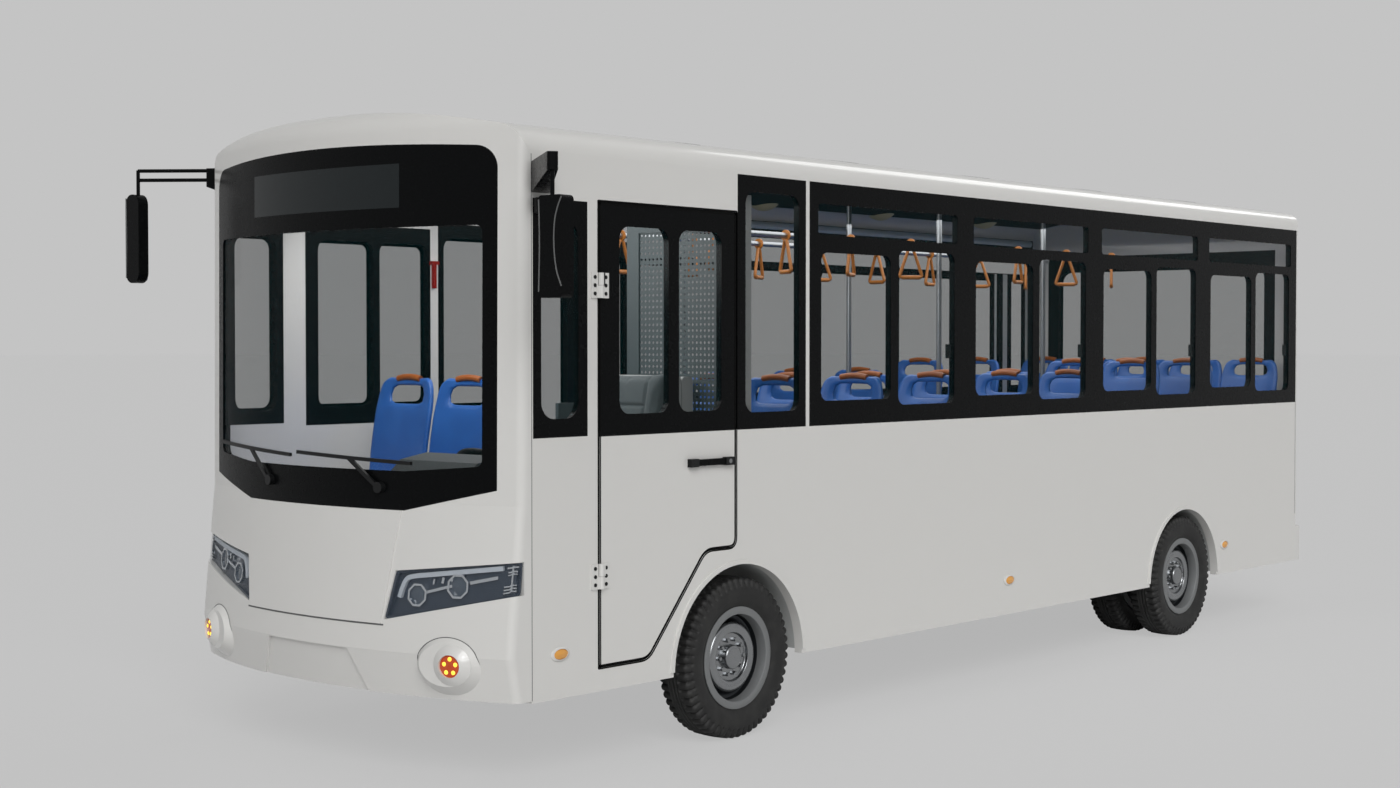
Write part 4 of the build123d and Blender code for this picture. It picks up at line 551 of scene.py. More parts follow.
for name, body, wheel_x, axle_y, twin_x in WHEELS:
    side = math.copysign(1, wheel_x)
    centre = np.array([abs(wheel_x), axle_y, AXLE_Z])
    rings, gutters = [rim_ring(RING_LINE, centre)], [rim_ring(GUTTER_LINE, centre)]
    domes = [rim_dome(centre), wheel_nuts(centre)]
    if twin_x:
        twin = np.array([-abs(twin_x), axle_y, AXLE_Z])
        rings.append(mirrored(rim_ring(RING_LINE, twin)))
        gutters.append(mirrored(rim_ring(GUTTER_LINE, twin)))
        domes.append(mirrored(rim_dome(twin)))
    node = name + ("_rims" if twin_x else "_rim")
    # columns: end of the piece's name, shapes, finish
    # The gutter piece carries the painted shade of the rim's recess.
    pressings = [("_rim_ring", rings, RIM_SILVER), ("_rim_gutter_shade", gutters, RIM_GUTTER_SHADE),
                 ("_rim_centre", domes, RIM_POLISHED)]
    for ending, shapes, material in pressings:
        make_piece(name + ending, outward(joined(shapes), side), material, body, [node])

# %% [markdown]
# The passenger seats are blue shells, moulded in one piece with a hand hole through the top of the back.
# One seat is a sheet: a side line from the front lip over the pan and up the back, carried across the width.
# The cells of the sheet in the hand hole are left out, then thickness and smoothing finish all seats.

# %% Seat shells
SEAM_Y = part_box("left_wall")[0].y
FLOOR_Z = 0.720
PLATFORM_Z = 0.870
PLATFORM_FROM = SEAM_Y + 5.37
FRONT_SEATS = [(-0.600, 0.760), (-0.150, 0.760)]
LEFT_ROWS = (1.955, 2.610, 3.330, 4.090, 4.810, 5.610, 6.330)
RIGHT_ROWS = (3.530, 4.210, 4.890, 5.610, 6.330)
BENCH = (-0.840, -0.420, 0.0, 0.420, 0.840)
SEATS = np.array(FRONT_SEATS + [(x, row) for row in LEFT_ROWS for x in (0.830, 0.400)]
                 + [(-0.830, row) for row in RIGHT_ROWS] + [(x, 7.300) for x in BENCH])
SEATS[:, 1] += SEAM_Y
# columns: distance from the back's top, height above the floor, half width
SHELL_LINE = np.array([
    (-0.492, 0.424, 0.180), (-0.480, 0.450, 0.198), (-0.420, 0.458, 0.206), (-0.300, 0.448, 0.210),
    (-0.180, 0.444, 0.210), (-0.105, 0.456, 0.210), (-0.074, 0.500, 0.210), (-0.060, 0.600, 0.212),
    (-0.040, 0.720, 0.213), (-0.022, 0.822, 0.212), (-0.010, 0.866, 0.210), (0.004, 0.956, 0.196),
    (0.012, 0.984, 0.172), (0.014, 0.994, 0.140)])
SHELL_WIDTH = np.array([-1, -0.92, -0.62, -0.3, 0, 0.3, 0.62, 0.92, 1])
HOLE_ROW = 10
HOLE_COLUMNS = (2, 5)
RAISED_BACK = 0.82
SHELL_T = 0.026


def seat_shells():
    """Sheet points: side line by width, with edges curled up and forward; raised seats have a lower back."""
    raised = SEATS[:, 1] > PLATFORM_FROM
    base = np.where(raised, PLATFORM_Z, FLOOR_Z)
    away, height, half = SHELL_LINE.T
    above = np.maximum(height - 0.5, 0)
    heights = np.minimum(height, 0.5) + np.where(raised[:, None], RAISED_BACK, 1.0) * above
    curl = 0.020 * SHELL_WIDTH ** 4
    upright = np.clip((height - 0.45) / 0.1, 0, 1)
    shape = (len(SEATS), len(away), len(SHELL_WIDTH))
    x = np.broadcast_to(SEATS[:, 0, None, None] + half[:, None] * SHELL_WIDTH, shape)
    y = np.broadcast_to(SEATS[:, 1, None, None] + away[:, None] + 0.016 - curl * upright[:, None], shape)
    z = np.broadcast_to((base[:, None] + heights)[..., None] + 0.6 * curl * (1 - upright[:, None]), shape)
    points = np.stack([x, y, z], -1).reshape(-1, 3)
    cells = grid_quads(len(away), len(SHELL_WIDTH)).reshape(len(away) - 1, len(SHELL_WIDTH) - 1, 4)
    kept = np.ones(cells.shape[:2], bool)
    kept[HOLE_ROW, HOLE_COLUMNS[0]:HOLE_COLUMNS[1] + 1] = False
    quads = cells[kept][None] + (np.arange(len(SEATS)) * shape[1] * shape[2])[:, None, None]
    return (points, [quads.reshape(-1, 4)]), base, heights[:, -1]


shells, seat_base, back_height = seat_shells()
shell_piece = make_piece("seat_shells", shells, BLUE_SHELL, replaces=["seats"], sharp=180)
thick = shell_piece.modifiers.new("thickness", "SOLIDIFY")
thick.thickness = SHELL_T
thick.offset = 0
rounder = shell_piece.modifiers.new("rounding", "SUBSURF")
rounder.levels = 1
rounder.render_levels = 1
legs = np.stack([SEATS[:, 0] - 0.035, SEATS[:, 0] + 0.035, SEATS[:, 1] - 0.240, SEATS[:, 1] - 0.140,
                 seat_base, seat_base + 0.440], -1)
make_piece("seat_legs", boxes(legs), GREY_PLASTIC, replaces=["seats"])

# %% [markdown]
# Each back carries a brown grip on its top edge, and orange triangles hang from the two ceiling rails.
# A grip is a round bar that bows upwards. A strap is a closed line, a triangle with round corners, with a
# thin bar carried along it and a band that holds it to the rail. Straps twist a little on their bands.

# %% Grips and straps
STRAP_LINES = (0.140, -0.560)
STRAP_Y = SEAM_Y + 1.970 + 0.330 + 0.610 * np.arange(8)
STRAP_TWIST = np.radians([0, 65, 20, -40, 80, 10, -60, 30])
RAIL_Z = 2.500
BAND_R = 0.0205


def seat_grip(x, back_y, top):
    """Bar that bows up by a parabola across the seat's top edge."""
    across = np.linspace(-0.085, 0.085, 11)
    rise = 0.010 * (1 - (across / 0.085) ** 2)
    path = np.stack([x + across, 0 * across + back_y + 0.018, top - 0.004 + rise], -1)
    return tube(path, round_section(0.0165, 10))


def rounded_outline(corners, radius, steps=5):
    """Closed line through corners, each replaced by points on a quadratic curve between its two cut ends."""
    corners = np.asarray(corners, float)
    before = np.roll(corners, 1, 0) - corners
    after = np.roll(corners, -1, 0) - corners
    radius = np.broadcast_to(radius, len(corners))[:, None]
    start = corners + before / np.linalg.norm(before, axis=1, keepdims=True) * radius
    end = corners + after / np.linalg.norm(after, axis=1, keepdims=True) * radius
    t = np.linspace(0, 1, steps)[None, :, None]
    curve = (1 - t) ** 2 * start[:, None] + 2 * t * (1 - t) * corners[:, None] + t ** 2 * end[:, None]
    return curve.reshape(-1, corners.shape[1])


def hand_strap(x, y, twist):
    """Triangle line in its own plane, turned by the twist about the upright line through its band."""
    flat = rounded_outline([(-0.014, -0.030), (0.014, -0.030), (0.074, -0.205), (-0.074, -0.205)],
                           (0.010, 0.010, 0.022, 0.022))
    path = np.stack([x - flat[:, 0] * np.sin(twist), y + flat[:, 0] * np.cos(twist), RAIL_Z + flat[:, 1]], -1)
    side = (np.cos(twist), np.sin(twist), 0)
    frame_bar = tube(path, round_section(0.0100, 10), closed=True, up=side)
    foot = np.array([-0.056, 0.056])
    foot = np.stack([x - foot * np.sin(twist), y + foot * np.cos(twist), 0 * foot + RAIL_Z - 0.205], -1)
    bar = tube(foot, round_section(0.0130, 12))
    round_rail = np.linspace(0, 2 * np.pi, 20, endpoint=False)
    loop = np.stack([x + BAND_R * np.cos(round_rail), 0 * round_rail + y,
                     RAIL_Z + BAND_R * np.sin(round_rail)], -1)
    band = tube(loop, [(-0.012, -0.004), (0.012, -0.004), (0.012, 0.004), (-0.012, 0.004)], True, (0, 1, 0))
    neck = tube([(x, y, RAIL_Z - 0.022), (x, y, RAIL_Z - 0.036)], round_section(0.009, 8), up=(1, 0, 0))
    return [frame_bar, bar, band, neck]


grips = [seat_grip(x, y, base + height) for (x, y), base, height in zip(SEATS, seat_base, back_height)]
make_piece("seat_grips", joined(grips), GRIP_BROWN, replaces=["hand_holds"])
straps = []
for x in STRAP_LINES:
    for y, twist in zip(STRAP_Y, STRAP_TWIST):
        straps += hand_strap(x, y, twist)
make_piece("hand_straps", joined(straps), STRAP_ORANGE, replaces=["hand_holds"])

# %% [markdown]
# Behind the driver stands a grey panel, punched all over with small round holes that light shows through.
# A picture of dots would look flat from the side, so the holes are real, in a sheet 2 mm thick: through a
# thick one nothing shows at a slant. One cell is a square with an eight-sided hole, repeated over the sheet.

# %% Punched partition
PANEL_LOW, PANEL_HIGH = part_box("partition")
PANEL_T = 0.020
PANEL_Y = (PANEL_HIGH.y - PANEL_T, PANEL_HIGH.y)
HOLE_PITCH = (0.026, 0.029)
HOLE_R = 0.0066
SHEET_Y = (PANEL_Y[0] + 0.008, PANEL_Y[0] + 0.010)
PUNCHED_X = (PANEL_LOW.x + 0.080, PANEL_HIGH.x - 0.020)
PUNCHED_Z = (0.905, PANEL_HIGH.z - 0.040)


def punched_field():
    """Eight corners of a square and eight of a hole per cell, at two depths, moved to every cell's middle."""
    columns = int((PUNCHED_X[1] - PUNCHED_X[0]) / HOLE_PITCH[0])
    rows = int((PUNCHED_Z[1] - PUNCHED_Z[0]) / HOLE_PITCH[1])
    eighth = np.arange(8) * np.pi / 4
    square = np.stack([np.cos(eighth), np.sin(eighth)], -1)
    square = square / np.abs(square).max(1, keepdims=True)
    wide = (PUNCHED_X[1] - PUNCHED_X[0]) / columns
    high = (PUNCHED_Z[1] - PUNCHED_Z[0]) / rows
    outer = square * (wide / 2, high / 2)
    hole = HOLE_R * np.stack([np.cos(eighth), np.sin(eighth)], -1)
    ring = np.concatenate([outer, hole, outer, hole])
    depth = np.repeat(SHEET_Y, 16)
    x = PUNCHED_X[0] + wide * (np.arange(columns) + 0.5)
    z = PUNCHED_Z[0] + high * (np.arange(rows) + 0.5)
    shape = (rows, columns, 32)
    points = np.stack([np.broadcast_to(x[None, :, None] + ring[:, 0], shape), np.broadcast_to(depth, shape),
                       np.broadcast_to(z[:, None, None] + ring[:, 1], shape)], -1).reshape(-1, 3)
    step = np.arange(8)
    turn = (step + 1) % 8
    cell = np.concatenate([np.stack([a + step, a + turn, b + turn, b + step], -1)
                           for a, b in ((0, 8), (8, 24), (24, 16))])
    quads = cell[None] + 32 * np.arange(rows * columns)[:, None, None]
    return points, [quads.reshape(-1, 4)]


BOX_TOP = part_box("wheel_boxes")[1].z + 0.002
BOX_SIDE = 0.586
make_piece("punched_panel", punched_field(), PARTITION_GREY, replaces=["partition"],
           weld=True)
panel_frame = [
    (PANEL_LOW.x, PUNCHED_X[0], *PANEL_Y, PANEL_LOW.z, PANEL_HIGH.z),
    (PUNCHED_X[1], PANEL_HIGH.x, *PANEL_Y, PUNCHED_Z[0], PANEL_HIGH.z),
    (PUNCHED_X[0], PUNCHED_X[1], *PANEL_Y, PUNCHED_Z[1], PANEL_HIGH.z),
    (PUNCHED_X[0], BOX_SIDE, *PANEL_Y, PANEL_LOW.z, PUNCHED_Z[0]),
    (BOX_SIDE, PANEL_HIGH.x, *PANEL_Y, BOX_TOP, PUNCHED_Z[0]),
    (PANEL_LOW.x, PANEL_LOW.x + PANEL_T, PANEL_LOW.y, PANEL_Y[0], PANEL_LOW.z, 1.600),
]
make_piece("panel_frame", boxes(panel_frame), PARTITION_GREY, replaces=["partition"])

# %% [markdown]
# The driver's seat is padded foam under dark grey cloth: a thick cushion and a back with side bolsters.
# Each pad starts as a slightly small pillow. Blender's cloth then blows it up a little, as foam fills a sewn
# cover, and the grooves where the cover is sewn down come last, because a simulation would smooth them out.

# %% Driver's seat
SEAT_LOW, SEAT_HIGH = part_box("driver_seat")
SEAT_MID_X = (SEAT_LOW.x + SEAT_HIGH.x) / 2
PAD_HALF_W = (SEAT_HIGH.x - SEAT_LOW.x) / 2 - 0.010
COVER_VOXEL = 0.006
FOAM_PRESSURE = 4.0
FOAM_FRAMES = 20
FOAM_SWELL = 0.012
GROOVE = 0.011


def pad(origin, axes, half, thickness):
    """Pillow: thickness falls as the 0.32 power of (1 - u^8)(1 - v^8); sides pull in by a parabola."""
    line = np.sin(np.linspace(-np.pi / 2, np.pi / 2, 41))
    u, v = np.meshgrid(line, line, indexing="ij")
    full = ((1 - u ** 8) * (1 - v ** 8)) ** 0.32
    top = thickness * full * (0.5 + 0.10 * np.clip(np.abs(v) - 0.6, 0, 0.4))
    reach = half[0] * u * (1 - 0.03 * (1 - v ** 2))
    width = half[1] * v * (1 - 0.04 * (1 - u ** 2))
    sides = [np.stack([reach, width, lift], -1) @ axes + origin for lift in (top, -0.5 * thickness * full)]
    count = len(line)
    faces = grid_quads(count, count)
    return np.concatenate([side.reshape(-1, 3) for side in sides]), [faces, faces + count * count]


def settled(piece):
    """The piece's mesh as its modifiers leave it, with the modifiers gone."""
    seen = piece.evaluated_get(bpy.context.evaluated_depsgraph_get())
    mesh = bpy.data.meshes.new_from_object(seen)
    piece.modifiers.clear()
    return mesh


def mesh_points(mesh):
    """Points of a mesh as rows of an array."""
    flat = np.empty(3 * len(mesh.vertices))
    mesh.vertices.foreach_get("co", flat)
    return flat.reshape(-1, 3)


def filled_with_foam(piece):
    """Cloth under inner pressure for a few frames; a point's way is cut off at the swell."""
    cover = piece.modifiers.new("cover", "REMESH")
    cover.mode = "VOXEL"
    cover.voxel_size = COVER_VOXEL
    piece.data = settled(piece)
    before = mesh_points(piece.data)
    cloth = piece.modifiers.new("foam", "CLOTH")
    cloth.settings.use_pressure = True
    cloth.settings.uniform_pressure_force = FOAM_PRESSURE
    cloth.settings.effector_weights.gravity = 0
    cloth.point_cache.frame_start = 1
    cloth.point_cache.frame_end = FOAM_FRAMES
    for frame in range(1, FOAM_FRAMES + 1):
        bpy.context.scene.frame_set(frame)
    moved = mesh_points(settled(piece)) - before
    bpy.context.scene.frame_set(1)
    way = np.linalg.norm(moved, axis=1, keepdims=True)
    return before + moved * np.minimum(1, FOAM_SWELL / np.maximum(way, 1e-9))


def sewn(points, origin, axes, half):
    """Grooves on the upper face: points sink where they are near the bolsters' lines and the cross line."""
    u, v, lift = ((points - origin) @ axes.T / (*half, 1)).T
    lines = np.exp(-((np.abs(v) - 0.62) / 0.035) ** 2)
    lines = np.maximum(lines, np.exp(-((u - 0.35) / 0.03) ** 2) * (np.abs(v) < 0.62))
    inside = np.clip((0.93 - np.abs(u)) / 0.1, 0, 1) * (lift > 0)
    return points - GROOVE * (lines * inside)[:, None] * axes[2]


lean = np.array([0, 0.100, 0.530]) / np.hypot(0.100, 0.530)
ahead = np.array([0, -lean[2], lean[1]])
back_middle = np.array([SEAT_MID_X, SEAT_HIGH.y - 0.103, 1.490])
cushion_middle = np.array([SEAT_MID_X, SEAT_LOW.y + 0.265, 1.180])
# columns: name, middle, directions along, across and out, half length and half width, thickness
PADS = [
    ("driver_cushion", cushion_middle, [(0, -1, 0), (1, 0, 0), (0, 0, 1)], (0.255, PAD_HALF_W), 0.105),
    ("driver_backrest", back_middle, [lean, (1, 0, 0), ahead], (0.265, PAD_HALF_W), 0.090),
]
for name, middle, axes, half, thickness in PADS:
    axes = np.array(axes, float)
    shape = pad(middle, axes, half, thickness)
    cushion = make_piece(name, shape, SEAT_CLOTH, replaces=["driver_seat"], weld=True,
                         sharp=180)
    points = sewn(filled_with_foam(cushion), middle, axes, half)
    cushion.data.vertices.foreach_set("co", points.ravel())
    cushion.data.polygons.foreach_set("use_smooth", np.ones(len(cushion.data.polygons), bool))
    cushion.data.update()
    print(name, len(points), "points after filling")
stand = [(SEAT_MID_X - 0.150, SEAT_MID_X + 0.040, SEAT_LOW.y + 0.080, SEAT_LOW.y + 0.230, FLOOR_Z, 1.140)]
make_piece("driver_seat_stand", boxes(stand), BLACK_PLASTIC, replaces=["driver_seat"])
# columns: front and rear of each half of the pale shell behind the back, and its lower and upper edge
SHELL_HALVES = [(-2.398, -2.338, 1.330, 1.735), (-2.331, -2.252, 1.330, 1.728)]
SHELL_X = (0.345, 0.775)
shells = []
for front, rear, low, high in SHELL_HALVES:
    corners = rounded_outline([(front, low), (rear, low), (rear, high), (front, high)], 0.024, 6)
    shells.append(prism([np.insert(corners, 0, x, axis=1) for x in SHELL_X]))
shells.append(boxes([(0.365, 0.755, -2.350, -2.320, 1.350, 1.705)]))
make_piece("driver_seat_shell", joined(shells), PALE_LINER, replaces=["driver_seat"])

# %% [markdown]
# The bowed nose bends round the front and turns into the sides with a tight corner.
# Lamps, seams and the sign all lie on that skin, so it helps to unroll it like a paper label: one number
# is the way along the skin from the middle, the other the height. Shapes are drawn flat and rolled back on.

# %% The nose as an unrolled sheet
NOSE_TIP = CAD_BOX[0][1]
BOW = 2.750
CORNER_R = 0.045
CORNER_X = 1.055
BEND = math.asin(CORNER_X / (BOW - CORNER_R))
BOW_END = BOW * BEND
CORNER_END = BOW_END + CORNER_R * (math.pi / 2 - BEND)
LEVEL_Z = (0.370, 0.560, 0.676, 1.200, 2.690, 2.760)
LEVEL_BACK = (0.038, 0.0, 0.010, 0.065, 0.075, 0.075)


def on_nose(along, height, inset):
    """Point on the skin: on the wide arc up to the bend, then on the corner's arc, then straight back."""
    centre_y = NOSE_TIP + np.interp(height, LEVEL_Z, LEVEL_BACK) + BOW
    way = np.abs(along)
    past = np.clip(way - BOW_END, 0, CORNER_END - BOW_END)
    angle = np.where(way < BOW_END, way / BOW, BEND + past / CORNER_R)
    corner = way >= BOW_END
    radius = np.where(corner, CORNER_R, BOW) - inset
    x = np.where(corner, CORNER_X, 0) + radius * np.sin(angle)
    y = centre_y - np.where(corner, (BOW - CORNER_R) * math.cos(BEND), 0) - radius * np.cos(angle)
    y = y + np.clip(way - CORNER_END, 0, None)
    return np.stack(np.broadcast_arrays(np.sign(along) * x, y, height), -1)


def slab(front, back):
    """Closed sheet between two grids of points: both faces, and a rim of quads round their edge."""
    rows, columns = front.shape[:2]
    number = np.arange(rows * columns).reshape(rows, columns)
    edge = np.concatenate([number[0, :-1], number[:-1, -1], number[-1, :0:-1], number[:0:-1, 0]])
    after = np.roll(edge, -1)
    count = rows * columns
    rim = np.stack([edge, after, after + count, edge + count], -1)
    faces = grid_quads(rows, columns)
    return np.concatenate([front.reshape(-1, 3), back.reshape(-1, 3)]), [faces, faces + count, rim]


def label(flat, front, back):
    """Grid of flat (along, height) places rolled on to the nose at two insets, as a closed sheet."""
    flat = np.asarray(flat, float)
    return slab(on_nose(flat[..., 0], flat[..., 1], front), on_nose(flat[..., 0], flat[..., 1], back))


def ribbon(path, width, closed=False):
    """Flat strip beside a line: each point moves half the width to either side, square to the line."""
    path = np.asarray(path, float)
    ahead = np.roll(path, -1, 0) - np.roll(path, 1, 0) if closed else np.gradient(path, axis=0)
    ahead /= np.linalg.norm(ahead, axis=1, keepdims=True)
    side = np.stack([-ahead[:, 1], ahead[:, 0]], -1) * width / 2
    strip = np.stack([path - side, path + side], 1)
    return np.concatenate([strip, strip[:1]]) if closed else strip


print("unrolled nose, way to the corner's end", round(CORNER_END, 3))

# %% [markdown]
# A headlamp is a dark tray under a clear cover that bends round the corner of the bus.
# In it are two lamps with plated rims, an L-shaped light guide, and thin bars and lines.
# Places in the lamp go from 0 to 1, inner to outer end and lower to upper edge, then to the unrolled nose.

# %% Headlamps
LAMP_INNER = (0.4845, 0.5303)
LAMP_OUTER = CORNER_END + 0.008
LAMP_LOW = (0.694, 0.2132, 0.482)
LAMP_HIGH = (0.907, 0.1029, 0.527)
TRAY = (0.028, 0.042)
MIDDLE = (0.014, 0.028)


def in_lamp(across, up):
    """Flat place for shares across and up: edges are straight lines in X and height."""
    inner = LAMP_INNER[0] + (LAMP_INNER[1] - LAMP_INNER[0]) * up
    along = inner + across * (LAMP_OUTER - inner)
    x = np.where(along < BOW_END, BOW * np.sin(along / BOW), CORNER_X + CORNER_R)
    low = LAMP_LOW[0] + LAMP_LOW[1] * (x - LAMP_LOW[2])
    high = LAMP_HIGH[0] + LAMP_HIGH[1] * (x - LAMP_HIGH[2])
    return np.stack(np.broadcast_arrays(along, low + up * (high - low)), -1)


def lamp_line(places, width):
    """Strip through places in the lamp, with extra points so that it follows the bend."""
    places = np.asarray(places, float)
    share = np.linspace(0, len(places) - 1, 12 * (len(places) - 1) + 1)
    across = np.interp(share, np.arange(len(places)), places[:, 0])
    up = np.interp(share, np.arange(len(places)), places[:, 1])
    return ribbon(in_lamp(across, up), width)


def lamp_disc(across, up, radius, sides, dome):
    """Round or many-sided lens on the tray: rings of a polar grid, the middle ones further out."""
    ring = np.linspace(0.04, 1, 7)[:, None]
    angle = np.linspace(0, 2 * np.pi, sides + 1)[None, :] + np.pi / sides
    middle = in_lamp(np.array(across), np.array(up))
    flat = np.stack(np.broadcast_arrays(middle[0] + radius * ring * np.cos(angle),
                                        middle[1] + radius * ring * np.sin(angle)), -1)
    front = on_nose(flat[..., 0], flat[..., 1], MIDDLE[0] + dome * ring ** 2)
    return slab(front, on_nose(flat[..., 0], flat[..., 1], TRAY[0] + 0.002))


def lamp_rim(across, up, radius, width, sides):
    """Plated rim: a closed strip round a many-sided ring."""
    angle = np.linspace(0, 2 * np.pi, sides, endpoint=False) + np.pi / sides
    middle = in_lamp(np.array(across), np.array(up))
    ring = middle + radius * np.stack([np.cos(angle), np.sin(angle)], -1)
    return label(ribbon(ring, width, closed=True), 0.009, 0.029)


grid_across, grid_up = np.meshgrid(np.linspace(0.004, 0.996, 40), np.linspace(0.012, 0.988, 9), indexing="ij")
lamp_grid = in_lamp(grid_across, grid_up)
# columns: across, up and radius in metres of the two lamps
LAMP_EYES = [(0.22, 0.42, 0.047), (0.525, 0.50, 0.050)]
# columns: line through places in the lamp, width in metres
LAMP_BARS = [
    ([(0.28, 0.45), (0.48, 0.53)], 0.012), ([(0.61, 0.55), (0.81, 0.61)], 0.014),
    ([(0.33, 0.62), (0.33, 0.74)], 0.008), ([(0.40, 0.62), (0.40, 0.76)], 0.012),
    ([(0.47, 0.64), (0.47, 0.76)], 0.008), ([(0.87, 0.86), (0.97, 0.86)], 0.007),
    ([(0.88, 0.73), (0.96, 0.73)], 0.007), ([(0.88, 0.65), (0.96, 0.65)], 0.005),
    ([(0.86, 0.32), (0.96, 0.32)], 0.006), ([(0.86, 0.23), (0.96, 0.23)], 0.006),
    ([(0.86, 0.14), (0.96, 0.14)], 0.006), ([(0.915, 0.12), (0.915, 0.90)], 0.010),
]
GUIDE_LINE = smooth_line([(0.075, 0.42), (0.082, 0.62), (0.10, 0.79), (0.15, 0.845), (0.30, 0.852),
                          (0.55, 0.856), (0.84, 0.862)], 5)
guide = label(ribbon(in_lamp(GUIDE_LINE[:, 0], GUIDE_LINE[:, 1]), 0.020), 0.010, 0.026)
bars = [label(lamp_line(places, width), 0.012, 0.026) for places, width in LAMP_BARS]
eyes = [lamp_disc(across, up, radius - 0.004, 24, 0.010) for across, up, radius in LAMP_EYES]
rims = [lamp_rim(across, up, radius, 0.010, 8) for across, up, radius in LAMP_EYES]
border = in_lamp(*np.array([(0.012, 0.03), (0.012, 0.97), (0.985, 0.97), (0.985, 0.03)]).T)
border = label(ribbon(rounded_outline(border, 0.012, 4), 0.012, closed=True), 0.007, 0.030)
# columns: name, shapes on the left lamp, finish, slot
LAMP_PIECES = [
    ("lamp_trays", [label(lamp_grid, *TRAY), border], LAMP_SLATE, "headlamp_glass"),
    ("lamp_light_guides", [guide], LIGHT_GUIDE, "headlamp_glass"),
    ("lamp_rims_and_bars", rims + bars, LAMP_CHROME, "headlamp_glass"),
    ("lamp_eyes", eyes, LAMP_EYE, "headlamp_glass"),
    ("lamp_covers", [label(lamp_grid, 0.004, 0.007)], CLEAR_COVER, "headlamp_glass"),
]
for name, shapes, material, slot in LAMP_PIECES:
    both = joined(shapes + [mirrored(shape) for shape in shapes])
    make_piece(name, both, material, replaces=["headlamps"], sharp=30)

# %% [markdown]
# The fog lamps sit in round white eyes on the bumper: a dome, an orange disc, and five yellow diodes in it.
# Along the sides are small oval marker lamps in white rims. Both are low domes over a round or oval base,
# so one polar grid does: the height falls with the square of the way out from the middle.

# %% Fog lamps and markers
FOG_TURN = math.asin(0.815 / BOW)
FOG_SIDE = np.array([math.cos(FOG_TURN), math.sin(FOG_TURN), 0])
FOG_MIDDLE = np.array([0.815, NOSE_TIP + 0.1303, 0.525]) + 0.034 * FOG_SIDE
FOG_OUT = np.array([math.sin(FOG_TURN), -math.cos(FOG_TURN), 0])
FOG_FACE = 0.0255
UP = np.array([0, 0, 1])
DIODES = [(0, 0.030), (0.027, 0.008), (0.017, -0.026), (-0.017, -0.026), (-0.027, 0.008)]


def dome(middle, side, up, out, half_side, half_up, foot, top, inner=0.02):
    """Cap on an oval: height goes from top at the inner share to foot at the edge, by the share squared."""
    ring = np.linspace(inner, 1, 9)[:, None]
    angle = np.linspace(0, 2 * np.pi, 41)[None, :]
    height = foot + (top - foot) * (1 - ring ** 2) / (1 - inner ** 2)
    flat = half_side * ring[..., None] * np.cos(angle)[..., None] * side
    flat = flat + half_up * ring[..., None] * np.sin(angle)[..., None] * up + middle
    return slab(flat + height[..., None] * out, flat + (foot - 0.004) * out)


eye = dome(FOG_MIDDLE, FOG_SIDE, UP, FOG_OUT, 0.092, 0.088, FOG_FACE, 0.052, 0.55)
lens = dome(FOG_MIDDLE, FOG_SIDE, UP, FOG_OUT, 0.053, 0.053, 0.040, 0.046)
diodes = [dome(FOG_MIDDLE + u * FOG_SIDE + v * UP, FOG_SIDE, UP, FOG_OUT, 0.0095, 0.0095, 0.0445, 0.0490)
          for u, v in DIODES]
MARKER_Y = SEAM_Y + np.array([0.165, 3.733, 6.384])
MARKER_Z = 0.553
WALL_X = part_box("left_wall")[1].x - 0.0255
BEHIND = np.array([0, 1, 0])
LEFT = np.array([1, 0, 0])
marker_middles = [np.array([WALL_X, y, MARKER_Z]) for y in MARKER_Y]
markers = [dome(middle, BEHIND, UP, LEFT, 0.047, 0.022, 0.005, 0.013) for middle in marker_middles]
marker_rims = [dome(middle, BEHIND, UP, LEFT, 0.057, 0.031, 0.0045, 0.0095, 0.75)
               for middle in marker_middles]
# columns: name, shapes on the left, finish, slot
SMALL_LAMPS = [
    ("fog_lamp_eyes", [eye], WHITE_PAINT, "white_paint"),
    ("fog_lamp_lenses", [lens], FOG_LENS, "amber_lens"),
    ("fog_lamp_diodes", diodes, LED_YELLOW, "amber_lens"),
    ("marker_lenses", markers, AMBER_LENS, "amber_lens"),
    ("marker_rims", marker_rims, WHITE_PAINT, "white_paint"),
]
for name, shapes, material, slot in SMALL_LAMPS:
    both = joined(shapes + [mirrored(shape) for shape in shapes])
    make_piece(name, both, material, replaces=["amber_lamps"], sharp=35)

# %% [markdown]
# Panels meet in thin dark lines: under the mask, round the fog lamps, and where nose and tail join the sides.
# The blank sign behind the top of the windscreen shows as a smoked panel with square corners.
# Lines on the nose are strips on the unrolled sheet. Lines on flat walls are thin boxes.

# %% Panel lines and sign
bumper_line = np.stack([np.linspace(-0.486, 0.486, 60), np.full(60, 0.6715)], -1)
angle = np.linspace(0, 2 * np.pi, 72, endpoint=False)
fog_line = np.stack([BOW * FOG_TURN + 0.1525 * np.cos(angle), 0.525 + 0.1145 * np.sin(angle)], -1)
fog_ring = label(ribbon(fog_line, 0.004, closed=True), -0.0012, 0.003)
REAR_SEAM_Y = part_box("left_wall")[1].y
side_lines = boxes([(WALL_X - 0.002, WALL_X + 0.0008, y - 0.0015, y + 0.0015, low, 2.688)
                    for y, low in ((SEAM_Y, 0.372), (REAR_SEAM_Y, 0.690))])
lines = [label(ribbon(bumper_line, 0.007), -0.0015, 0.003), fog_ring, mirrored(fog_ring), side_lines,
         mirrored(side_lines)]
make_piece("panel_lines", joined(lines), SEAM_AND_HIGHLIGHT_GREY)
SIGN_HALF = 0.52
SIGN_Z = (2.475, 2.665)
sign_grid = np.meshgrid(np.linspace(-SIGN_HALF, SIGN_HALF, 40), np.linspace(*SIGN_Z, 4), indexing="ij")
sign_grid = np.stack(sign_grid, -1)
make_piece("sign_panel", label(sign_grid, -0.0015, 0.004), SIGN_FACE)

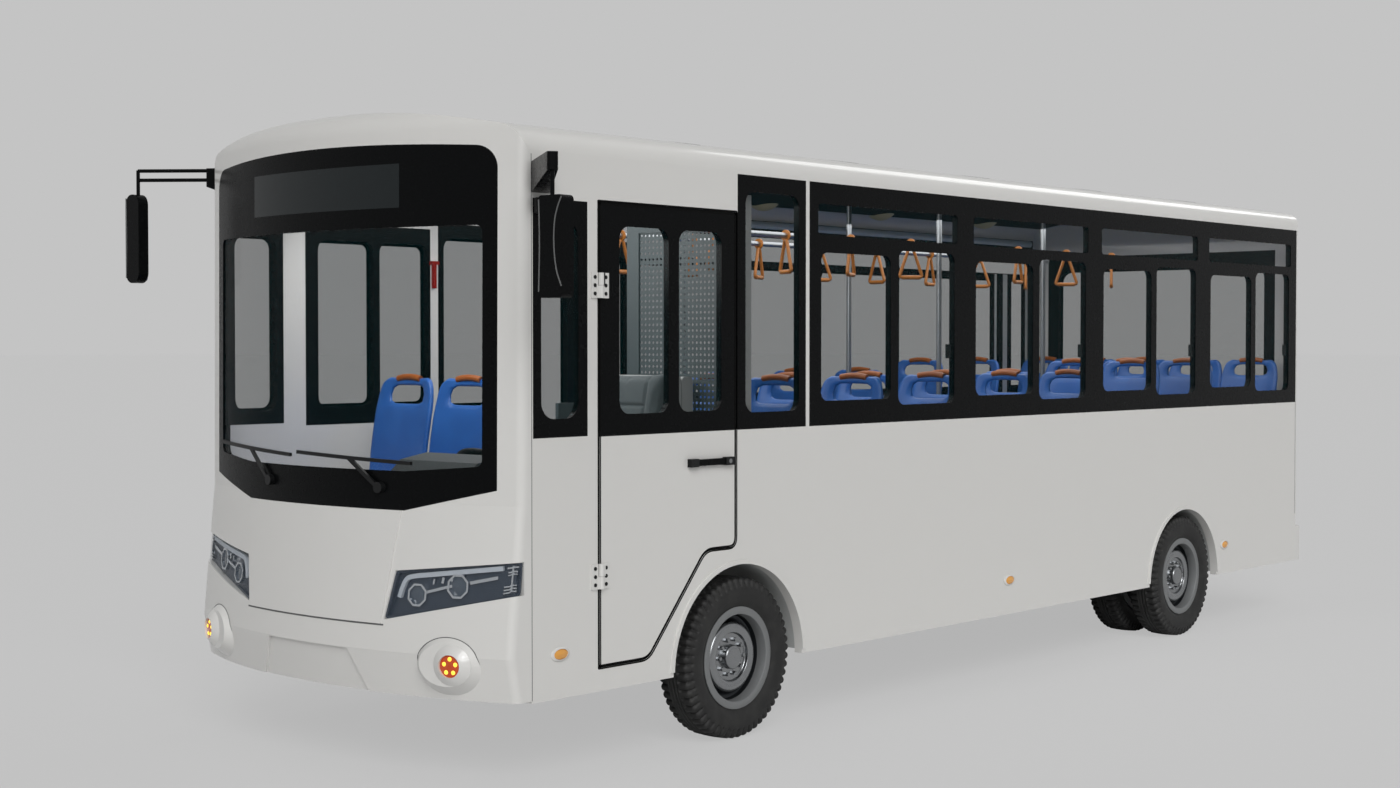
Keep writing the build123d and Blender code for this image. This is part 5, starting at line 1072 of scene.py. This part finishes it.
# %% [markdown]
# The driver's door hangs on two strap hinges, white plates with three black bolts on each side.
# A black rubber seal follows the door's edge in the gap, with a thin lip on the door and one on the wall.
# The handle is a black grip with square ends. Half of each hinge belongs to the wall and half
# to the door, so each half rides on its own body.

# %% Driver's door trim
HINGE_Y = SEAM_Y + 0.409
HINGE_X = WALL_X + 0.0135
HINGE_Z = (0.867, 2.142)
PLATE_Y = (0.014, 0.054)
PLATE_HALF = 0.0555
BOLT_R = 0.0085
BOLT_RISE = (-0.036, 0.0, 0.036)
# columns: distance behind the seam and height of the door opening's corners, rounding at each
DOOR_LINE = np.array([
    (0.405, 0.462, 0.001), (0.727, 0.462, 0.048), (1.121, 0.922, 0.048), (1.341, 0.922, 0.0525),
    (1.341, 2.510, 0.001), (0.405, 2.510, 0.001)])


def bolt(middle):
    """Low cylinder that stands out of a plate to the left."""
    angle = np.linspace(0, 2 * np.pi, 12, endpoint=False)
    ring = np.stack([0 * angle, np.cos(angle), np.sin(angle)], -1)
    return prism([middle + BOLT_R * ring, middle + BOLT_R * ring + 0.003 * LEFT,
                  middle + 0.7 * BOLT_R * ring + 0.004 * LEFT])


for name, body, toward in (("wall_hinges", "bus_body", -1), ("door_hinges", "driver_door", 1)):
    near, far = sorted(HINGE_Y + toward * np.array(PLATE_Y))
    plates = boxes([(WALL_X + 0.0058, WALL_X + 0.0085, near, far, z - PLATE_HALF, z + PLATE_HALF)
                    for z in HINGE_Z])
    bolts = [bolt(np.array([WALL_X + 0.0084, (near + far) / 2, z + rise]))
             for z in HINGE_Z for rise in BOLT_RISE]
    make_piece(name, plates, WHITE_PAINT, body)
    make_piece(name + "_bolts", joined(bolts), BLACK_PLASTIC, body)
SLEEVE_R = 0.0128
sleeves = [tube([(HINGE_X, HINGE_Y, z + 0.0012), (HINGE_X, HINGE_Y, z + PLATE_HALF)],
                round_section(SLEEVE_R, 20), up=LEFT) for z in HINGE_Z]
make_piece("hinge_sleeves", joined(sleeves), WHITE_PAINT, "driver_door")


def door_ring(outer, inner, low, high):
    """Closed strip along the door opening's line, between two distances inside it and two places across."""
    corners = DOOR_LINE[:, :2] + (SEAM_Y, 0)
    line = rounded_outline(corners, DOOR_LINE[:, 2], 6)
    ahead = np.roll(line, -1, 0) - np.roll(line, 1, 0)
    ahead /= np.linalg.norm(ahead, axis=1, keepdims=True)
    inwards = np.stack([-ahead[:, 1], ahead[:, 0]], -1)
    flat = [line + inwards * move for move in (outer, inner)]
    rings = [(low, flat[0]), (high, flat[0]), (high, flat[1]), (low, flat[1])]
    points = np.stack([np.insert(ring, 0, x, axis=1) for x, ring in rings], 1)
    return points.reshape(-1, 3), [grid_quads(len(line), 4, close_rows=True, close_columns=True)]


SEAL_X = (1.060, 1.0985)
LIP_X = (WALL_X - 0.0004, WALL_X + 0.0010)
# columns: name, distances inside the opening's line, places across, body
SEALS = [
    ("door_seal", (0.0014, 0.0079), SEAL_X, "driver_door"),
    ("door_seal_lip", (0.0082, 0.0145), LIP_X, "driver_door"),
    ("wall_seal_lip", (-0.0060, 0.0002), LIP_X, "bus_body"),
]
for name, inside, across, body in SEALS:
    make_piece(name, door_ring(*inside, *across), RUBBER_SEAL, body)
HANDLE_Z = 1.337
handle_ends = boxes([(WALL_X, WALL_X + 0.026, SEAM_Y + y0, SEAM_Y + y1, HANDLE_Z - 0.019, HANDLE_Z + 0.019)
                     for y0, y1 in ((0.992, 1.046), (1.240, 1.299))])
make_piece("handle_ends", handle_ends, BLACK_PLASTIC, "driver_door")
key = dome(np.array([WALL_X, SEAM_Y + 1.270, HANDLE_Z]), BEHIND, UP, LEFT, 0.011, 0.011, 0.0262, 0.0285)
make_piece("handle_lock", key, RIM_SILVER, "driver_door")

# %% [markdown]
# Small fittings finish the cabin: opal ceiling lamps, a pale moulding under the ceiling, window latches,
# a red hammer on a post and a black strip between the driver's door and the first window.
# They are simple shapes, so plain boxes, domes and round bars are enough.

# %% Cabin fittings
LAMP_Y = (-0.900, 0.385, 1.657, 2.953)
CEILING_X = 0.930
CEILING_R = 5.455
CEILING_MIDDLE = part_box("roof")[1].z - 5.500
ceiling_out = np.array([-0.17, 0, -0.985])
ceiling_side = np.array([0.985, 0, -0.17])
LENS_Z = 2.786
LENS_R = 0.090
ceiling_lamps = [dome(np.array([CEILING_X, y, LENS_Z]), ceiling_side, BEHIND, ceiling_out, LENS_R, LENS_R,
                      0.006, 0.042) for y in LAMP_Y]
make_piece("ceiling_lamps", joined(ceiling_lamps + [mirrored(lamp) for lamp in ceiling_lamps]), WARM_LENS,
           sharp=50)
# A near-black sheet just under the roof is painted ceiling shade.
across = np.linspace(-0.94, 0.94, 25)
line_y = np.array([-3.50, 3.74])
sheet_x, sheet_y = np.meshgrid(across, line_y, indexing="ij")
arch = CEILING_MIDDLE + np.sqrt(CEILING_R ** 2 - sheet_x ** 2)
liner = slab(np.stack([sheet_x, sheet_y, arch - 0.002], -1), np.stack([sheet_x, sheet_y, arch - 0.010], -1))
make_piece("ceiling_shade_liner", liner, CEILING_SHADE)
moulding = tube([(1.036, -3.55, 2.661), (1.036, 3.75, 2.661)], round_section(0.024, 16) * (0.75, 1.0))
make_piece("ceiling_mouldings", joined([moulding, mirrored(moulding)]), MOULDING_BLUE)
MODULE_START = SEAM_Y + 1.900
MODULE_PITCH = (REAR_SEAM_Y - MODULE_START) / 4
LATCH_X = (1.078, 1.0895)
LATCH_W = 0.034
LATCH_Z = (1.810, 1.886)
latches = boxes([(*LATCH_X, y, y + LATCH_W, *LATCH_Z)
                 for y in MODULE_START + MODULE_PITCH * np.arange(4) + 1.222])
make_piece("window_latches", latches, BLACK_PLASTIC)
# columns: limits across, along and up of the hammer's handle and of its head
HAMMER = [(-1.056, -1.036, -2.328, -2.306, 2.190, 2.330), (-1.056, -1.030, -2.342, -2.292, 2.318, 2.338)]
make_piece("hammer_holder", boxes(HAMMER), RED_LENS)
strip = boxes([(WALL_X - 0.030, WALL_X + 0.0010, SEAM_Y + 1.3403, SEAM_Y + 1.3560, 1.483, 2.509)])
make_piece("door_post_strip", strip, BLACK_GLOSS)

# %% [markdown]
# At the back are lamps with three lenses, reflectors, a blank plate in a holder, and the line of a hatch.
# The tail is a wide arc too, so a grid of places across and up is pushed on to that arc as on the nose.
# Mirror glass, the window posts beside the rear bench and a pillar cover are flat, so they are plain slabs.

# %% Tail, mirrors and posts
TAIL_BOW = 9.0
TAIL_FACE = CAD_BOX[1][1] - 0.060
BUMPER_FACE = CAD_BOX[1][1]


def on_tail(x_range, z_range, face, back, front):
    """Closed sheet on the tail: places on an arc of the tail's radius, moved out by back and by front."""
    x, z = np.meshgrid(np.linspace(*x_range, 13), np.linspace(*z_range, 5), indexing="ij")
    arc = face - (TAIL_BOW - np.sqrt(TAIL_BOW ** 2 - x ** 2))
    return slab(np.stack([x, arc + front, z], -1), np.stack([x, arc + back, z], -1))


LENS_X = (0.912, 0.998)
LENS_OUT = (0.010, 0.0165)
# columns: name, places across, heights, face, back and front, finish, slot, repeated on the right
TAIL_PIECES = [
    ("tail_amber_lenses", LENS_X, (0.985, 1.080), TAIL_FACE, LENS_OUT, AMBER_LENS, "amber_lens", True),
    ("tail_pale_lenses", LENS_X, (0.805, 0.900), TAIL_FACE, LENS_OUT, PALE_LENS, "amber_lens", True),
    ("tail_reflectors", (0.700, 0.800), (0.470, 0.510), BUMPER_FACE, (-0.002, 0.004), RED_LENS,
     "red_lens", True),
    ("plate_holder", (-0.245, 0.245), (0.690, 0.840), TAIL_FACE, (-0.002, 0.006), BLACK_PLASTIC,
     "black_plastic", False),
    ("blank_plate", (-0.235, 0.235), (0.700, 0.830), TAIL_FACE, (0.004, 0.0075), PALE_LINER,
     "grey_plastic", False),
]
for name, x_range, z_range, face, out, material, slot, both in TAIL_PIECES:
    shape = on_tail(x_range, z_range, face, *out)
    make_piece(name, joined([shape, mirrored(shape)]) if both else shape, material)
LINE_W = 0.004
HATCH_X = 0.760
HATCH_Z = (0.640, 1.400)
hatch = [on_tail((-HATCH_X, HATCH_X), (z, z + LINE_W), TAIL_FACE, -0.002, 0.0008) for z in HATCH_Z]
hatch += [on_tail((x, x + LINE_W), HATCH_Z, TAIL_FACE, -0.002, 0.0008) for x in (-HATCH_X, HATCH_X - LINE_W)]
make_piece("hatch_lines", joined(hatch), SEAM_AND_HIGHLIGHT_GREY)
lock = dome(np.array([0.520, TAIL_FACE - 0.0150, 1.340]), LEFT, UP, BEHIND, 0.016, 0.016, 0.002, 0.005)
make_piece("hatch_locks", joined([lock, mirrored(lock)]), RIM_SILVER)

ROOF_LINES = (-2.40, -1.15, 0.10, 1.35, 2.60)
ROOF_R = 5.500
roof_x = np.linspace(-0.95, 0.95, 41)
roof_z = CEILING_MIDDLE + np.sqrt(ROOF_R ** 2 - roof_x ** 2)
seam_lines = []
for y in ROOF_LINES:
    strip = np.stack([np.stack([roof_x, 0 * roof_x + y + step, roof_z], -1) for step in (0, LINE_W)], 1)
    seam_lines.append(slab(strip + (0, 0, 0.0008), strip - (0, 0, 0.002)))
make_piece("roof_lines", joined(seam_lines), SEAM_AND_HIGHLIGHT_GREY)

MIRROR_Y = SEAM_Y - 0.235
# columns: middle X, half width, lower and upper edge, distance of the rear face
MIRRORS = [(1.484, 0.063, 2.079, 2.471, 0.0310), (-1.480, 0.048, 2.199, 2.621, 0.0280)]
glass = []
for x, half, low, high, behind in MIRRORS:
    flat = rounded_outline([(x - half, low), (x + half, low), (x + half, high), (x - half, high)], 0.022, 8)
    flat = np.stack([flat[:, 0], 0 * flat[:, 0] + MIRROR_Y + behind, flat[:, 1]], -1)
    glass.append(prism([flat - (0, 0.002, 0), flat + (0, 0.0012, 0)]))
make_piece("mirror_glass", joined(glass), MIRROR_GLASS)
# columns: place across and height, both from 0 to 1, of the crease and of the edge on a mirror's front; grey
# beads along them are painted highlights
CREASE = [(0.95, 0.98), (0.80, 0.88), (0.68, 0.74), (0.65, 0.52), (0.74, 0.28), (0.94, 0.11)]
EDGE = [(0.05, 0.96), (0.075, 0.70), (0.08, 0.45), (0.045, 0.06)]
highlight_beads = []
for (x, half, low, high, behind), lines in zip(MIRRORS, ((CREASE, EDGE), (EDGE,))):
    for places in lines:
        line = smooth_line(places, 6)
        path = np.stack([x + (2 * line[:, 0] - 1) * (half + 0.009), 0 * line[:, 0] + MIRROR_Y - behind,
                         low - 0.009 + line[:, 1] * (high - low + 0.018)], -1)
        highlight_beads.append(tube(path, round_section(0.0032, 8), up=(0, 1, 0)))
make_piece("mirror_highlight_beads", joined(highlight_beads), SEAM_AND_HIGHLIGHT_GREY)

# columns: start and end along the bus of the posts beside the rear bench
DARK_POSTS = [(3.217, 3.261), (3.297, 3.377), (3.449, 3.497), (3.658, 3.694), (3.731, 3.768)]
PALE_POSTS = [(3.261, 3.291), (3.380, 3.440), (3.698, 3.729)]
POST_X = (-1.0595, -1.0450)
POST_Z = (1.480, 2.420)
PILLAR = (1.000, 1.055, -2.190, -2.145, 0.950, 2.600)
dark_posts = boxes([(*POST_X, *place, *POST_Z) for place in DARK_POSTS])
pale_posts = boxes([(*POST_X, *place, *POST_Z) for place in PALE_POSTS])
make_piece("dark_window_posts", dark_posts, BLACK_GLOSS)
make_piece("pale_window_posts", pale_posts, PALE_LINER)
make_piece("quarter_pillar", boxes([PILLAR]), PALE_LINER)

# %% [markdown]
# The floor is a plain pale sheet, and the studio is one even grey with soft light from the front left.
# Suns and a world light the floor evenly out to the horizon, so the floor and the backdrop meet unseen.
# A weak sun from behind gives the bright line along the roof's shoulder, and a small one from the front left
# puts a shine on the rounded corners. Two flat lights under the ceiling brighten the cabin.

# %% Studio
BACKDROP = "#C4C4C4"
FLOOR_COLOUR, shader = finish_of("pale studio floor", "#F0F0F0", 1.0, {"Specular IOR Level": 0.0})
FLOOR_EVEN = 0.82
tree = FLOOR_COLOUR.node_tree
path = add_node(tree, "ShaderNodeLightPath")
share = add_node(tree, "ShaderNodeMath", {0: path.outputs["Is Camera Ray"], 1: FLOOR_EVEN},
                 operation="MULTIPLY")
even = add_node(tree, "ShaderNodeEmission", {"Color": linear(BACKDROP), "Strength": 1.0})
sheet = add_node(tree, "ShaderNodeMixShader", {
    "Fac": share.outputs[0], 1: shader.outputs["BSDF"], 2: even.outputs[0]})
tree.links.new(sheet.outputs[0], tree.nodes["Material Output"].inputs["Surface"])
FLOOR_RADIUS = 400.0
angle = np.linspace(0, 2 * np.pi, 64, endpoint=False)
floor_points = np.stack([FLOOR_RADIUS * np.cos(angle), FLOOR_RADIUS * np.sin(angle), 0 * angle], -1)
floor_mesh = bpy.data.meshes.new("studio_floor")
floor_mesh.from_pydata(floor_points.tolist(), [], [list(range(64))])
floor_mesh.materials.append(FLOOR_COLOUR)
floor = bpy.data.objects.new("studio_floor", floor_mesh)
bpy.context.scene.collection.objects.link(floor)

world = bpy.data.worlds.new("studio")
bpy.context.scene.world = world
world.use_nodes = True
tree = world.node_tree
tree.nodes.clear()
path = add_node(tree, "ShaderNodeLightPath")
seen = add_node(tree, "ShaderNodeMath", {0: path.outputs["Is Camera Ray"], 1: path.outputs["Is Glossy Ray"]},
                operation="MAXIMUM")
seen = add_node(tree, "ShaderNodeMath", {0: seen.outputs[0], 1: path.outputs["Is Transmission Ray"]},
                operation="MAXIMUM")
WORLD_LIGHT = 0.18
light = add_node(tree, "ShaderNodeBackground", {"Color": (1, 1, 1, 1), "Strength": WORLD_LIGHT})
backdrop = add_node(tree, "ShaderNodeBackground", {"Color": linear(BACKDROP), "Strength": 1.0})
mix = add_node(tree, "ShaderNodeMixShader", {
    "Fac": seen.outputs[0], 1: light.outputs[0], 2: backdrop.outputs[0]})
add_node(tree, "ShaderNodeOutputWorld", {"Surface": mix.outputs[0]})

# columns: name, direction towards the light, strength, angle across in degrees
SUNS = [
    ("key_sun", (0.68, -0.58, 0.60), 1.92, 40),
    ("shine_sun", (0.62, -0.62, 0.50), 0.12, 7),
    ("rim_sun", (0.0, 0.84, 0.54), 0.20, 18),
]
for name, towards, strength, spread in SUNS:
    lamp = bpy.data.lights.new(name, "SUN")
    lamp.energy = strength
    lamp.angle = math.radians(spread)
    sun = bpy.data.objects.new(name, lamp)
    down = np.array(towards) / np.linalg.norm(towards)
    sun.rotation_euler = (math.acos(down[2]), 0, math.atan2(down[0], -down[1]))
    bpy.context.scene.collection.objects.link(sun)

# columns: name, place, tilt towards the rear in degrees, width, length, strength in watts
CABIN_LIGHTS = [
    ("cabin_light", (0, 0.1, 2.66), 0, 1.5, 6.6, 85),
    ("cab_light", (0, -3.45, 2.40), 65, 1.5, 0.4, 17),
]
for name, place, tilt, wide, long, strength in CABIN_LIGHTS:
    lamp = bpy.data.lights.new(name, "AREA")
    lamp.shape = "RECTANGLE"
    lamp.size = wide
    lamp.size_y = long
    lamp.energy = strength
    cabin = bpy.data.objects.new(name, lamp)
    cabin.location = place
    cabin.rotation_euler = (math.radians(tilt), 0, 0)
    bpy.context.scene.collection.objects.link(cabin)
print("studio ready")

# %% [markdown]
# The camera stands about eight metres off the front left corner, a little above a standing person's eyes.
# Its place and lens were solved from the lines of the window band and the wheels.

# %% Camera
EYE = (7.118, -9.4421, 1.8792)
YAW = 41.212
PITCH = 1.408
camera_data = bpy.data.cameras.new("camera")
camera_data.sensor_width = 36.0
camera_data.lens = 50.7
camera = bpy.data.objects.new("camera", camera_data)
camera.location = EYE
camera.rotation_euler = (math.radians(90 - PITCH), 0, math.radians(YAW))
bpy.context.scene.collection.objects.link(camera)
bpy.context.scene.camera = camera
bpy.context.scene.view_settings.view_transform = "Standard"
print("camera at", EYE)
